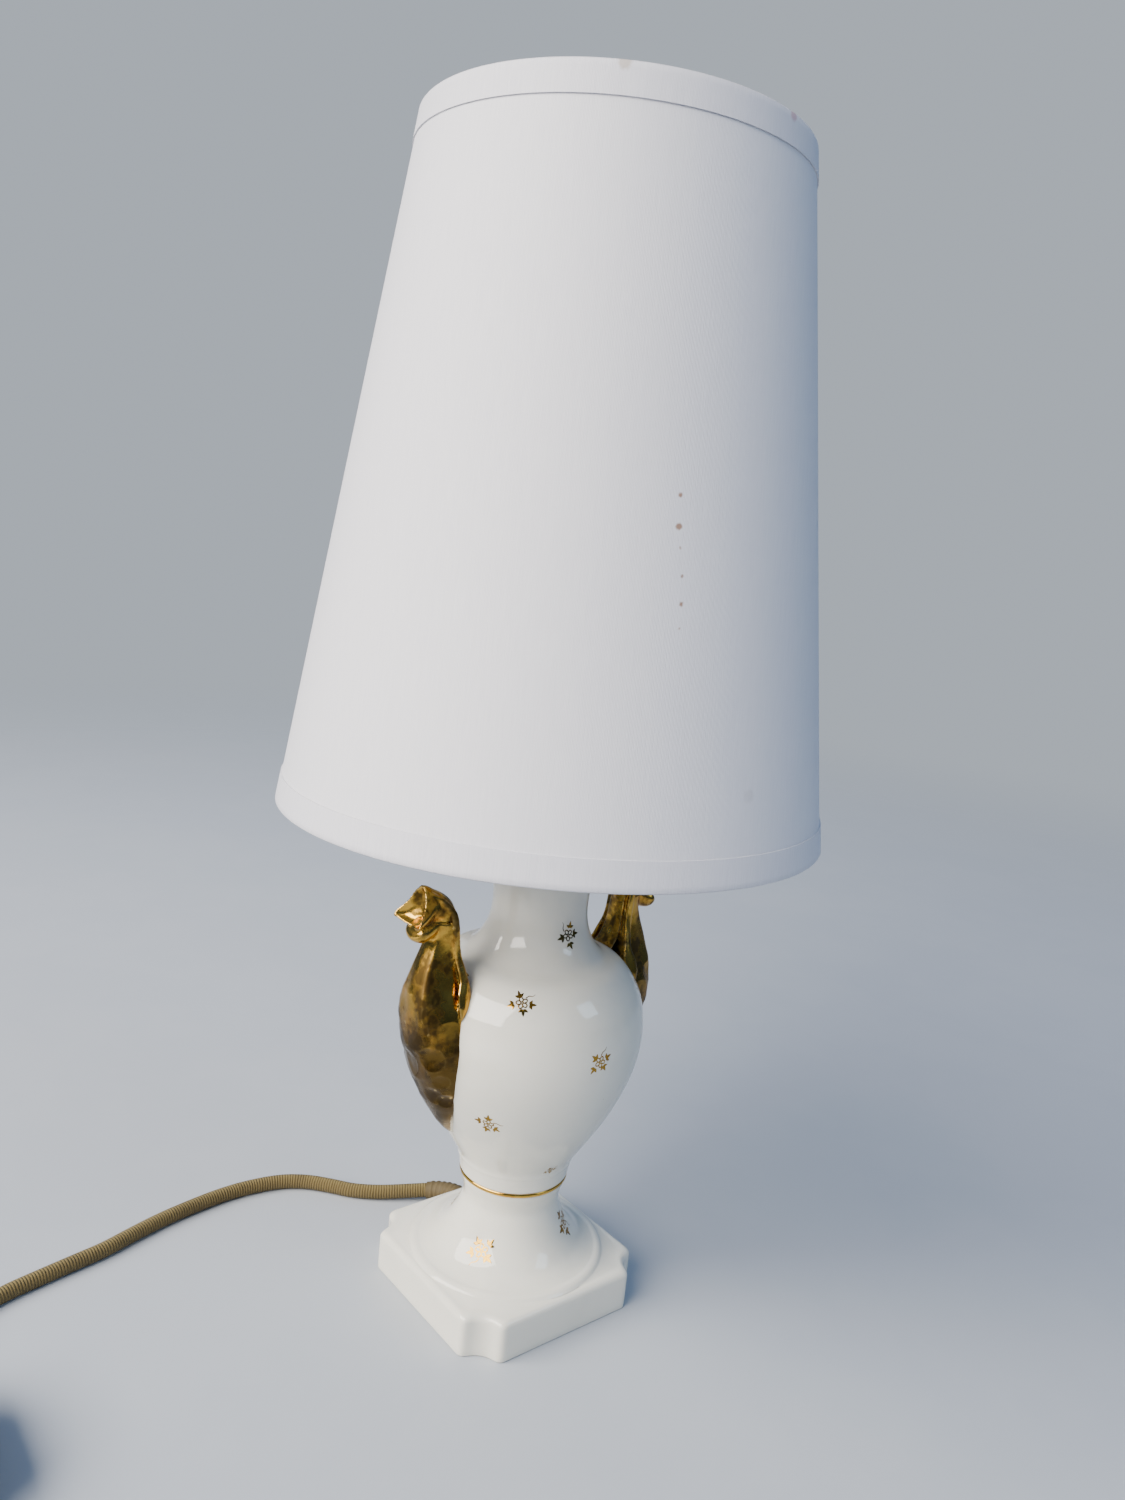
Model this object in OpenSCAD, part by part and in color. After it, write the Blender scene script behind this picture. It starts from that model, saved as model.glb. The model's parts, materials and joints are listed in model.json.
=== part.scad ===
// Table lamp: a porcelain urn with two gilded swan-neck handles on a square notched foot,
// a tall tapered fabric shade on a brass bayonet lampholder, and a textile cord with a
// rocker switch and a two-pin plug.
// Frame: the origin is the centre of the foot's underside and +Z is up. X runs through the
// two handles, and the cord leaves the foot through its +Y wall.

/* [Foot] */
// Width of the square plinth
plinth_w = 82; // [80:1:86]
// Height of the plinth's side walls
plinth_h = 16; // [15:0.5:18]
// Radius of the round notch cut from each corner of the plinth
notch_r = 10; // [8:0.5:11]
// Radius of the raised disc on top of the plinth
disc_r = 39; // [37:0.5:39.5]
// Height of the foot, from the table to the urn's underside
foot_h = 49.5; // [49:0.5:50]
// Thickness of the porcelain walls
porcelain_t = 4; // [3.5:0.1:4.2]

/* [Urn] */
// Radius of the urn's lower lip, where it sits on the foot
urn_lip_r = 21.5; // [21:0.1:22]
// Radius at the widest part of the belly
belly_r = 44.4; // [44:0.1:45]
// Radius of the narrowest part of the neck
neck_r = 18.2; // [18:0.1:19]
// Radius of the flared mouth
mouth_r = 23; // [22:0.5:25]
// Height of the mouth's rim above the table
mouth_z = 182; // [181:0.5:183]

/* [Fixings] */
// Outer radius of the threaded tube that clamps the lamp together
tube_r = 5; // [4.8:0.1:5]
// Bore radius of the threaded tube
tube_bore_r = 4; // [3.6:0.1:4.2]
// Radius of the two washers under the foot's roof
washer_r = 12; // [10:0.5:13]
// Radius of the spun brass cap on the urn's mouth
vase_cap_r = 21; // [20:0.5:22]

/* [Lampholder] */
// Outer radius of the threaded sleeve
sleeve_r = 13.9; // [13.7:0.1:13.9]
// Bore radius of the sleeve
sleeve_bore_r = 11.3; // [11.2:0.05:11.4]
// Radius of the two shade rings
shade_ring_r = 20; // [18:0.5:21]
// How far the bulb and the contact plungers can be pressed down
press_travel = 2.5; // [2:0.1:2.5]
// Angle that frees the bulb from its bayonet slots, in degrees
bayonet_turn = 22; // [20:1:25]

/* [Bulb] */
// Radius of the glass
bulb_r = 30; // [28:0.5:30]
// Thickness of the glass
glass_t = 0.8; // [0.6:0.1:1.2]
// Radius of the bayonet cap
bulb_cap_r = 11; // [10.9:0.05:11.05]

/* [Shade] */
// Diameter of the shade at its bottom edge
shade_bottom_d = 200; // [195:1:205]
// Diameter of the shade at its top edge
shade_top_d = 134; // [130:1:140]
// Height of the shade
shade_h = 232; // [225:1:240]
// Height of the shade's bottom edge above the table
shade_z = 195; // [194:0.5:196]
// Width of the tape that binds each edge of the shade
tape_w = 9.5; // [8:0.5:11]
// Radius of the wire in the shade's frame
wire_r = 1.3; // [1.2:0.1:1.5]

/* [Cord] */
// Radius of the textile cord
cord_r = 3; // [2.8:0.1:3]
// Radius at the middle of the coil's turns
coil_r = 33; // [32:1:34]
// Height of the hole for the cord in the plinth's wall
cord_hole_z = 7; // [6.5:0.5:7]

/* [Switch and plug] */
// Half the width of the switch housing
switch_half_w = 13; // [13:0.5:14]
// Height of the switch housing
switch_h = 17; // [17:0.5:18]
// Angle the rocker turns through from off to on, in degrees
rocker_throw = 18; // [14:1:18]
// Radius of the plug's pins
pin_r = 2; // [2:0.1:2.4]

/* [Hidden] */

$fn = 96;
eps = 0.01;           // lets a cutting shape run past the face that it cuts

// Heights of the parts stacked on the urn's mouth
vase_cap_h = 5.5;
lock_nut_h = 3.5;
holder_z = mouth_z + vase_cap_h + lock_nut_h;
tube_bottom_z = 35;
tube_top_z = holder_z + 7;
foot_roof_z = foot_h - 6;
washer_t = 1.5;
base_nut_h = 4;

// Heights inside the lampholder, above its underside
seat_h = 10.6;        // underside of the insulator's flange, where the lead ends
flange_top_h = 13;    // top of that flange, on which the sleeve stands
insulator_top_h = 25;
plunger_tip_h = 27.5;
plunger_foot_h = 19.5;
spring_foot_h = 13.5;
ring_h = 4;           // height of each shade ring
lower_ring_h = 17;
spider_gap = 0.3;     // play of the shade's washer between the two rings
spider_washer_t = 1.5;
sleeve_top_h = 41;
plunger_x = 5.2;
plunger_r = 2.1;
plunger_hole_r = 2.2;
bayonet_pin_h = 34.3;
bayonet_pin_r = 1;
slot_margin = 7;      // degrees of slot past each end of the pin's travel
cap_bottom_h = plunger_tip_h + 0.05;
cap_top_h = 52;
bulb_z = holder_z + cap_top_h;
bulb_centre_z = bulb_z + 48;

// Radii and thicknesses in the shade
shade_bottom_r = shade_bottom_d / 2;
shade_top_r = shade_top_d / 2;
shade_top_z = shade_z + shade_h;
tape_t = 0.5;
fabric_t = 0.6;
liner_t = 0.6;
lining_depth = tape_t + fabric_t + liner_t;
wire_inset = lining_depth + wire_r + 0.1;
bottom_wire_z = shade_z + 2;
top_wire_z = shade_top_z - 2;

// The cord: where it leaves the plinth, and the free route's points
wall_y = plinth_w / 2;
cord_exit = [8, wall_y, cord_hole_z];
bush_flange_t = 1.5;
relief_route = [cord_exit + [0, bush_flange_t, 0], [8, 46, 6.9], [7, 51, 6.4], [4.5, 56, 5.6], [1, 60, 4.8]];
switch_at = [-201, 10, 0];
switch_half_l = 30;
coil_at = [-240, -75, 0];
coil_half_w = 9;      // half the width and half the height of the bundle of turns
plug_at = [-276, -22, 0];
route_to_switch = [
    [1, 60, 4.8], [-7, 65, 4], [-17, 71, 3.3], [-26, 78, 3], [-33, 86, 3], [-41, 94, 3],
    [-51, 99.5, 3], [-64, 102, 3], [-77, 102, 3], [-91, 100, 3], [-105, 97, 3],
    [-118, 93, 3], [-130, 89, 3], [-142, 86.5, 3], [-154, 84, 3], [-167, 81, 3],
    [-180, 76, 3], [-192, 66, 4], [-199.5, 55, 6.5], [-201, 47, 8], [-201, 43.5, 8], [-201, 40, 8]
];
route_to_coil = [
    [-201, -20, 8], [-201, -26, 8], [-201, -37, 5.5], [-201, -47, 3.5], [-201, -56, 3], [-201, -62, 3]
];
route_to_plug = [
    [-276, -56, 14.5], [-276, -50, 13.8], [-276, -41, 11], [-276, -33, 8.4], [-276, -26, 7.5], [-276, -22, 7.5]
];
lead_route = [
    [8, 35, cord_hole_z], [8, 29, 7], [7, 21, 7.8], [4.5, 12, 12], [1.5, 4, 20], [0.3, 0.6, 28],
    [0, 0, 34], [0, 0, 60], [0, 0, 120], [0, 0, holder_z + seat_h]
];

// Switch and plug
shell_t = 1.8;        // wall of the switch housing
switch_split_z = 8;
collar_r = 4.6;       // collar round the cord at each end of the switch and on the plug
collar_l = 4;
rocker_half_l = 8.3;
rocker_half_w = 4.8;
rocker_pivot_z = 13;
rocker_pin_r = 1.2;
switch_screw_at = [[8.6, 13], [-8.6, -13]];
plug_h = 15;
plug_l = 36;
plug_pin_l = 19;
plug_pin_x = 9.5;

// The urn's outline in three stretches: foot lip to shoulder ridge, the flat shoulder, and the neck
belly_outline = [
    [urn_lip_r + 1, 56.5], [26.6, 63.5], [33.2, 75], [38.8, 86.5], [42.7, 98.5],
    [belly_r, 111], [42.3, 124.5]
];
shoulder_outline = [[42.3, 124.5], [39.8, 129.5], [36.2, 134.2], [32.5, 137], [29, 138.6]];
neck_outline = [
    [29, 138.6], [24.6, 141.4], [21.2, 145.6], [18.9, 151], [neck_r, 158],
    [18.8, 167], [20.8, 175.5], [mouth_r, mouth_z]
];
// The foot's outline from the disc's edge up the trumpet to its gilded collar
trumpet_outline = [
    [34, 18], [28.5, 21.4], [23.6, 26.8], [20.3, 33], [19, 38.5], [19.7, 43], [20.9, 46.8], [21.1, foot_h]
];
// Stations up a handle: inner point and outer point as [x, z], then half the width
handle_stations = [
    [[30.5, 71.5], [33, 71.5], 0.8],
    [[32, 76], [38.5, 76], 4],
    [[35.5, 84], [43.5, 84], 8],
    [[38.5, 94], [50.5, 94], 11.5],
    [[40, 106], [56, 106], 14.3],
    [[40.5, 118], [58.8, 118], 14.3],
    [[38.5, 129], [57.8, 129.5], 11.5],
    [[34, 137], [54.8, 138], 8.5],
    [[34.6, 144], [52, 144], 6.2],
    [[35.8, 150], [49.2, 150.5], 5],
    [[36.4, 156.5], [49.6, 154.6], 5],
    [[38.8, 161.5], [51, 152.8], 5.2],
    [[44, 165.6], [54, 151.6], 5.8],
    [[50, 168.8], [58, 153.2], 6.8],
    [[54, 170.5], [61.5, 158.5], 7.8]
];

// A smooth curve through points of any number of coordinates
function spline_point(a, b, c, d, t) =
    0.5 * (2 * b + (c - a) * t + (2 * a - 5 * b + 4 * c - d) * t * t + (3 * b - a - 3 * c + d) * t * t * t);
function smooth(p, steps) = [
    for (i = [0 : len(p) - 2], k = [0 : steps - 1])
        spline_point(p[max(i - 1, 0)], p[i], p[i + 1], p[min(i + 2, len(p) - 1)], k / steps),
    p[len(p) - 1]
];
function unit(v) = v / norm(v);
function heading(p, i) = unit(p[min(i + 1, len(p) - 1)] - p[max(i - 1, 0)]);

// An outline of [radius, height] points moved inwards by t
function inset(p, t) = [for (i = [0 : len(p) - 1]) let (h = heading(p, i)) p[i] + t * [-h.y, h.x]];
function last(p) = p[len(p) - 1];

// A closed solid through rings that all have the same number of points
module skin(rings) {
    sides = len(rings[0]);
    count = len(rings);
    points = [for (ring = rings) each ring];
    walls = [
        for (i = [0 : count - 2], k = [0 : sides - 1])
            let (a = i * sides + k, b = i * sides + (k + 1) % sides)
            each [[a, a + sides, b + sides], [a, b + sides, b]]
    ];
    first_cap = [for (k = [0 : sides - 1]) k];
    last_cap = [for (k = [sides - 1 : -1 : 0]) (count - 1) * sides + k];
    polyhedron(points, concat(walls, [first_cap, last_cap]), convexity = 6);
}

// A tube along a route, whose radius goes evenly from r_start to r_end
module tube(route, r_start, r_end, sides, level = [0, 0, 1]) {
    n = len(route) - 1;
    skin([
        for (i = [0 : n])
            let (
                along = heading(route, i),
                side = unit(cross(along, level)),
                up = cross(side, along),
                r = r_start + (r_end - r_start) * i / n
            )
            [for (k = [0 : sides - 1])
                let (a = 360 * (k + 0.5) / sides)
                route[i] + r * (cos(a) * side - sin(a) * up)]
    ]);
}

// A straight round bar between two points
module bar(a, b, r) {
    d = b - a;
    translate(a)
        rotate([0, acos(d.z / norm(d)), atan2(d.y, d.x)])
            cylinder(r = r, h = norm(d), $fn = 24);
}

// A round ring with a rectangular section, from radius r_in to r_out
module ring(r_in, r_out, z, h) {
    translate([0, 0, z])
        difference() {
            cylinder(r = r_out, h = h);
            translate([0, 0, -eps]) cylinder(r = r_in, h = h + 2 * eps);
        }
}

// A six-sided nut on the threaded tube
module hex_nut(across_flats, z, h) {
    translate([0, 0, z])
        difference() {
            cylinder(r = across_flats / sqrt(3), h = h, $fn = 6);
            translate([0, 0, -eps]) cylinder(r = tube_r, h = h + 2 * eps);
        }
}

// A cone-shaped skin of the shade: depth is how far it lies inside the outer face
module shade_skin(depth, t) {
    rotate_extrude()
        polygon([
            [shade_bottom_r - depth, shade_z], [shade_top_r - depth, shade_top_z],
            [shade_top_r - depth - t, shade_top_z], [shade_bottom_r - depth - t, shade_z]
        ]);
}

// The radius of the shade's outer face at a height
function shade_r(z) = shade_bottom_r - (z - shade_z) * (shade_bottom_r - shade_top_r) / shade_h;

// A tape folded over an edge of the shade; up is 1 at the bottom edge and -1 at the top edge
module edge_tape(edge_z, wire_z, up) {
    outer = edge_z + up * tape_w;
    fold = edge_z - up * tape_t;
    inner = wire_z + up * 2 * wire_r;
    inner_r = shade_r(wire_z) - wire_inset - wire_r - 0.1;
    rotate_extrude()
        polygon([
            [shade_r(outer), outer], [shade_r(fold), fold], [inner_r - tape_t, fold],
            [inner_r - tape_t, inner], [inner_r, inner], [inner_r, edge_z],
            [shade_r(edge_z) - tape_t, edge_z], [shade_r(outer) - tape_t, outer]
        ]);
}

// The plinth's plan: a square with a round notch at each corner
module notched_square(w, r) {
    difference() {
        square(w, center = true);
        for (x = [-1, 1], y = [-1, 1])
            translate([x, y] * plinth_w / 2) circle(r = r);
    }
}

module pedestal_foot() {
    hollow_w = plinth_w - 3 * porcelain_t;
    color("white")
        difference() {
            union() {
                linear_extrude(plinth_h) notched_square(plinth_w, notch_r);
                rotate_extrude()
                    polygon(concat(
                        [[0, plinth_h / 2], [30, plinth_h / 2], [disc_r - 3, plinth_h - 0.5]],
                        [[disc_r, plinth_h], [disc_r - 0.4, plinth_h + 0.8], [disc_r - 2, plinth_h + 1.2]],
                        smooth(trumpet_outline, 3),
                        [[0, foot_h]]
                    ));
            }
            translate([0, 0, -eps])
                linear_extrude(plinth_h - 5) notched_square(hollow_w, notch_r + porcelain_t);
            rotate_extrude()
                polygon([
                    [0, 5], [30, 5], [30, 12.5], [24, 19], [18.5, 26], [15.4, 33],
                    [15, 37], [15, foot_roof_z], [0, foot_roof_z]
                ]);
            cylinder(r = tube_r + 0.3, h = foot_h + 1);
            translate([cord_exit.x, wall_y - 15, cord_hole_z])
                rotate([-90, 0, 0]) cylinder(r = 4, h = 20);
        }
}

module urn_body() {
    lip = [[urn_lip_r, foot_h], [urn_lip_r + 0.3, foot_h + 1.5], [urn_lip_r + 0.6, 55.5]];
    outline = concat(
        smooth(belly_outline, 4), smooth(shoulder_outline, 2), smooth(neck_outline, 3)
    );
    inside = [for (p = inset(outline, porcelain_t)) if (p.y > foot_h + 7) p];
    color("ivory")
        difference() {
            rotate_extrude() polygon(concat([[0, foot_h]], lip, outline, [[0, mouth_z]]));
            rotate_extrude()
                polygon(concat(
                    [[0, foot_h + 5], [inside[0].x, foot_h + 5]], inside,
                    [[last(inside).x, mouth_z + 1], [0, mouth_z + 1]]
                ));
            cylinder(r = tube_r + 0.3, h = foot_h + 10);
        }
}

// One handle on the +X side: an ellipse at each station, smoothed from the tip to the head
module handle() {
    sides = 16;
    inner = smooth([for (s = handle_stations) s[0]], 3);
    outer = smooth([for (s = handle_stations) s[1]], 3);
    width = smooth([for (s = handle_stations) s[2]], 3);
    color("darkgoldenrod")
        skin([
            for (i = [0 : len(inner) - 1])
                let (middle = (inner[i] + outer[i]) / 2, reach = (outer[i] - inner[i]) / 2)
                [for (k = [0 : sides - 1])
                    let (a = 360 * (k + 0.5) / sides, p = middle + cos(a) * reach)
                    [p.x, width[i] * sin(a), p.y]]
        ]);
}

module handle_left() {
    rotate([0, 0, 180]) handle();
}

module handle_right() {
    handle();
}

module threaded_tube() {
    color("goldenrod") ring(tube_bore_r, tube_r, tube_bottom_z, tube_top_z - tube_bottom_z);
}

module base_nut() {
    color("goldenrod") hex_nut(17, foot_roof_z - 2 * washer_t - base_nut_h, base_nut_h);
}

module base_washer() {
    color("silver") ring(tube_r + 0.3, washer_r, foot_roof_z - 2 * washer_t, washer_t);
}

module cushion_washer() {
    color("dimgray") ring(tube_r + 0.3, washer_r, foot_roof_z - washer_t, washer_t);
}

module vase_cap() {
    t = 1.2;
    top = mouth_z + vase_cap_h;
    color("gold")
        rotate_extrude()
            polygon([
                [tube_r + 0.2, top - t], [8, top - t], [13, top - 2.2], [16, mouth_z + 1], [17.4, mouth_z],
                [vase_cap_r, mouth_z], [vase_cap_r, mouth_z + 0.8], [18, mouth_z + t], [16.5, mouth_z + 2.2],
                [13.5, top - 0.9], [9, top], [tube_r + 0.2, top]
            ]);
}

module lock_nut() {
    color("gold") hex_nut(14, mouth_z + vase_cap_h, lock_nut_h);
}

module holder_base() {
    color("gold")
        translate([0, 0, holder_z])
            rotate_extrude()
                polygon([
                    [tube_r, 0], [8.4, 0], [9, 0.6], [9, 4.6], [10.5, 6], [14.2, 8.4], [15.4, 10.4],
                    [15.4, 15.4], [14.8, 16], [14, 16], [14, 10.5], [9, 7.5], [tube_r, 7.5]
                ]);
}

module holder_insulator() {
    color("whitesmoke")
        translate([0, 0, holder_z])
            difference() {
                union() {
                    translate([0, 0, seat_h]) cylinder(r = 13.7, h = flange_top_h - seat_h);
                    translate([0, 0, seat_h]) cylinder(r = sleeve_bore_r - 0.2, h = insulator_top_h - seat_h);
                }
                for (x = [-plunger_x, plunger_x])
                    translate([x, 0, spring_foot_h]) cylinder(r = plunger_hole_r, h = 20);
                for (y = [-7, 7])
                    translate([0, y, insulator_top_h - 1.6]) {
                        cylinder(r = 2.2, h = 5);
                        translate([0, 0, -3]) cylinder(r = 1, h = 5);
                    }
            }
}

module terminal_screws() {
    color("goldenrod")
        for (y = [-7, 7])
            translate([0, y, holder_z + insulator_top_h - 1.6])
                difference() {
                    union() {
                        cylinder(r = 1.9, h = 1.3);
                        translate([0, 0, -3]) cylinder(r = 1, h = 3);
                    }
                    translate([-3, -0.3, 0.7]) cube([6, 0.6, 2]);
                }
}

// The L-shaped way of one bayonet pin: in from the sleeve's mouth, then round to its rest
module bayonet_slot() {
    slot_low = bayonet_pin_h - press_travel - 1.2;
    slot_high = bayonet_pin_h + 1.15;
    rotate([0, 0, 90 - slot_margin])
        translate([0, 0, slot_low])
            rotate_extrude(angle = bayonet_turn + 2 * slot_margin)
                translate([sleeve_bore_r - 1, 0]) square([5, slot_high - slot_low]);
    rotate([0, 0, 90 + bayonet_turn])
        translate([sleeve_bore_r - 1, -1.3, slot_low]) cube([5, 2.6, sleeve_top_h]);
}

module holder_sleeve() {
    color("gold")
        translate([0, 0, holder_z])
            difference() {
                ring(sleeve_bore_r, sleeve_r, flange_top_h, sleeve_top_h - flange_top_h);
                for (turn = [0, 180])
                    rotate([0, 0, turn]) bayonet_slot();
            }
}

module contact_plungers() {
    color("gold")
        for (x = [-plunger_x, plunger_x])
            translate([x, 0, holder_z + plunger_foot_h])
                cylinder(r = plunger_r, h = plunger_tip_h - plunger_foot_h);
}

module plunger_springs() {
    turns = 4;
    steps = 10;
    coil_wire_r = 0.3;
    spring_l = plunger_foot_h - spring_foot_h - 2 * coil_wire_r - 0.2;
    color("silver")
        for (x = [-plunger_x, plunger_x])
            translate([x, 0, holder_z + spring_foot_h + coil_wire_r + 0.1])
                tube(
                    [for (i = [0 : turns * steps])
                        let (a = 360 * i / steps)
                        [1.6 * cos(a), 1.6 * sin(a), spring_l * i / (turns * steps)]],
                    coil_wire_r, coil_wire_r, 6
                );
}

module lower_shade_ring() {
    color("gold") translate([0, 0, holder_z]) ring(sleeve_r, shade_ring_r, lower_ring_h, ring_h);
}

module upper_shade_ring() {
    low = lower_ring_h + ring_h + spider_washer_t + 2 * spider_gap;
    color("gold") translate([0, 0, holder_z]) ring(sleeve_r + 0.1, shade_ring_r, low, ring_h);
}

module bulb_cap() {
    color("silver")
        translate([0, 0, holder_z]) {
            difference() {
                union() {
                    translate([0, 0, cap_bottom_h]) cylinder(r1 = 9, r2 = bulb_cap_r, h = 2);
                    translate([0, 0, cap_bottom_h + 2])
                        cylinder(r = bulb_cap_r, h = cap_top_h - cap_bottom_h - 2);
                    translate([0, -13.3, bayonet_pin_h])
                        rotate([-90, 0, 0]) cylinder(r = bayonet_pin_r, h = 26.6, $fn = 24);
                }
                translate([0, 0, bayonet_pin_h + 2]) cylinder(r = bulb_cap_r - 0.5, h = 30);
            }
        }
}

// The bulb's outline, from its neck round to the top, moved inwards by t
function bulb_outline(t) = concat(
    [for (p = smooth([[10.8, 0], [11.4, 8], [16.5, 20.5], [26.5, 33.9]], 4)) [p.x - t, bulb_z + p.y]],
    [for (a = [-20 : 10 : 80]) [(bulb_r - t) * cos(a), bulb_centre_z + (bulb_r - t) * sin(a)]],
    [[0, bulb_centre_z + bulb_r - t]]
);

module bulb_glass() {
    color("aliceblue", 0.4)
        difference() {
            rotate_extrude() polygon(concat([[0, bulb_z]], bulb_outline(0)));
            rotate_extrude() polygon(concat([[0, bulb_z - 1], [10.8 - glass_t, bulb_z - 1]], bulb_outline(glass_t)));
        }
}

// The flared glass stem on the cap's floor, its two lead wires and the zigzag between them
module bulb_filament() {
    stem_z = holder_z + bayonet_pin_h + 2;
    stem_top = bulb_z + 30;
    wire_top = bulb_z + 44;
    zigzag = [for (i = [0 : 8]) [-12 + 3 * i, 0, wire_top - 0.8 + (i % 2 == 0 ? 0 : 5)]];
    color("gray")
        union() {
            rotate_extrude()
                polygon([
                    [0, stem_z], [8, stem_z], [5, stem_z + 12], [2.5, stem_z + 22],
                    [2.5, stem_top], [0, stem_top]
                ]);
            for (side = [-1, 1])
                bar([side * 1.5, 0, stem_top - 2], [side * 12, 0, wire_top], 0.5);
            tube(zigzag, 0.25, 0.25, 6, [0, 1, 0]);
        }
}

module shade_spider() {
    washer_z = lower_ring_h + ring_h + spider_gap;
    arm_z = holder_z + washer_z + spider_washer_t / 2;
    wire_ring_r = shade_r(bottom_wire_z) - wire_inset;
    color("white")
        union() {
            translate([0, 0, holder_z]) ring(14.5, shade_ring_r + 2, washer_z, spider_washer_t);
            for (a = [30, 150, 270])
                rotate([0, 0, a])
                    bar([shade_ring_r + 0.7, 0, arm_z], [wire_ring_r - 0.5, 0, bottom_wire_z], 1.1);
        }
}

module wire_ring(z) {
    translate([0, 0, z])
        rotate_extrude()
            translate([shade_r(z) - wire_inset, 0]) circle(r = wire_r, $fn = 24);
}

module shade_bottom_ring() {
    color("white") wire_ring(bottom_wire_z);
}

module shade_top_ring() {
    color("white") wire_ring(top_wire_z);
}

module shade_liner() {
    color("white") shade_skin(tape_t + fabric_t, liner_t);
}

module shade_fabric() {
    color("white") shade_skin(tape_t, fabric_t);
}

module shade_bottom_tape() {
    color("white") edge_tape(shade_z, bottom_wire_z, 1);
}

module shade_top_tape() {
    color("white") edge_tape(shade_top_z, top_wire_z, -1);
}

module internal_lead() {
    color("darkkhaki") tube(smooth(lead_route, 2), cord_r, cord_r, 8, [1, 0, 0]);
}

module cord_bush() {
    color("saddlebrown")
        union() {
            translate([cord_exit.x, wall_y - 6, cord_hole_z])
                rotate([-90, 0, 0]) cylinder(r = 4, h = 6);
            translate(cord_exit)
                rotate([-90, 0, 0]) cylinder(r = 6, h = bush_flange_t);
            tube(smooth(relief_route, 2), 4.6, 3.5, 12);
        }
}

module cord_to_switch() {
    color("darkkhaki") tube(smooth(route_to_switch, 2), cord_r, cord_r, 8);
}

module cord_to_coil() {
    color("darkkhaki") tube(route_to_coil, cord_r, cord_r, 8);
}

module cord_to_plug() {
    color("darkkhaki") tube(route_to_plug, cord_r, cord_r, 8);
}

module cord_coil() {
    half_l = coil_half_w;
    color("darkkhaki")
        translate(coil_at)
            rotate_extrude()
                polygon([
                    [coil_r - half_l, 1.5], [coil_r - half_l + 1.5, 0], [coil_r + half_l - 1.5, 0],
                    [coil_r + half_l, 1.5], [coil_r + half_l, 2 * half_l - 1.5],
                    [coil_r + half_l - 1.5, 2 * half_l], [coil_r - half_l + 1.5, 2 * half_l],
                    [coil_r - half_l, 2 * half_l - 1.5]
                ]);
}

// A strap round the bundle on the coil's +Y side
module coil_tie() {
    strap_w = 8;
    strap_t = 0.6;
    color("black")
        translate(coil_at + [0, coil_r, coil_half_w])
            rotate([0, 90, 0])
                linear_extrude(strap_w, center = true)
                    difference() {
                        square(2 * coil_half_w, center = true);
                        square(2 * (coil_half_w - strap_t), center = true);
                    }
}

// The whole outside of the switch housing, or with t its inside
module switch_form(t) {
    half_l = switch_half_l - collar_l;
    r = switch_half_w - t;
    translate([0, 0, t])
        linear_extrude(switch_h - 2 * t)
            union() {
                square([2 * r, 2 * (half_l - switch_half_w)], center = true);
                for (end = [-1, 1])
                    translate([0, end * (half_l - switch_half_w)]) circle(r = r);
            }
}

module switch_collars() {
    for (end = [0, 180])
        rotate([0, 0, end])
            translate([0, switch_half_l - 2 * collar_l, switch_split_z])
                rotate([-90, 0, 0]) cylinder(r = collar_r, h = 2 * collar_l);
}

// The housing's shell with its screw bosses, before it is cut into a base and a cover
module switch_shell() {
    difference() {
        union() {
            difference() {
                union() {
                    switch_form(0);
                    switch_collars();
                }
                switch_form(shell_t);
            }
            for (p = switch_screw_at)
                translate([p.x, p.y, 0.5]) cylinder(r = 3.2, h = switch_h - 1);
        }
        for (p = switch_screw_at)
            translate([p.x, p.y, -eps]) {
                cylinder(r = 1.5, h = switch_h - 2.5);
                cylinder(r = 2.8, h = 2.4);
            }
    }
}

module switch_base() {
    color("black")
        translate(switch_at)
            intersection() {
                switch_shell();
                translate([-50, -50, 0]) cube([100, 100, switch_split_z]);
            }
}

module switch_cover() {
    lug_x = rocker_half_w + 0.5;
    color("black")
        translate(switch_at)
            difference() {
                union() {
                    intersection() {
                        switch_shell();
                        translate([-50, -50, switch_split_z]) cube([100, 100, switch_h]);
                    }
                    for (x = [-lug_x - 2, lug_x])
                        translate([x, -3, rocker_pivot_z - 3]) cube([2, 6, switch_h - rocker_pivot_z + 2]);
                }
                translate([-rocker_half_w - 0.3, -rocker_half_l - 0.9, switch_h - 3])
                    cube([2 * rocker_half_w + 0.6, 2 * rocker_half_l + 1.8, 10]);
                translate([-10, 0, rocker_pivot_z])
                    rotate([0, 90, 0]) cylinder(r = rocker_pin_r + 0.05, h = 20);
            }
}

// The rocker lies in its off position: its +Y end is down
module switch_rocker() {
    color("black")
        translate(switch_at + [0, 0, rocker_pivot_z])
            rotate([-rocker_throw / 2, 0, 0])
                union() {
                    translate([-rocker_half_w, 0, 0])
                        rotate([90, 0, 90])
                            linear_extrude(2 * rocker_half_w)
                                polygon([
                                    [-rocker_half_l, 0.5], [-2.5, -2.6], [2.5, -2.6], [rocker_half_l, 0.5],
                                    [rocker_half_l, 4.6], [4, 4.2], [0, 4], [-4, 4.2], [-rocker_half_l, 4.6]
                                ]);
                    translate([-rocker_half_w - 2.2, 0, 0])
                        rotate([0, 90, 0]) cylinder(r = rocker_pin_r, h = 2 * rocker_half_w + 4.4);
                }
}

module switch_contacts() {
    color("gold")
        translate(switch_at)
            for (end = [-1, 1])
                translate([-3, end * 9 - 4, shell_t]) {
                    cube([6, 8, 1]);
                    translate([0, end > 0 ? 0 : 7.2, 0]) cube([6, 0.8, 6]);
                }
}

module switch_screws() {
    color("silver")
        translate(switch_at)
            for (p = switch_screw_at)
                translate([p.x, p.y, 0.6]) {
                    cylinder(r = 2.7, h = 1.7);
                    cylinder(r = 1.5, h = switch_h - 4);
                }
}

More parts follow.
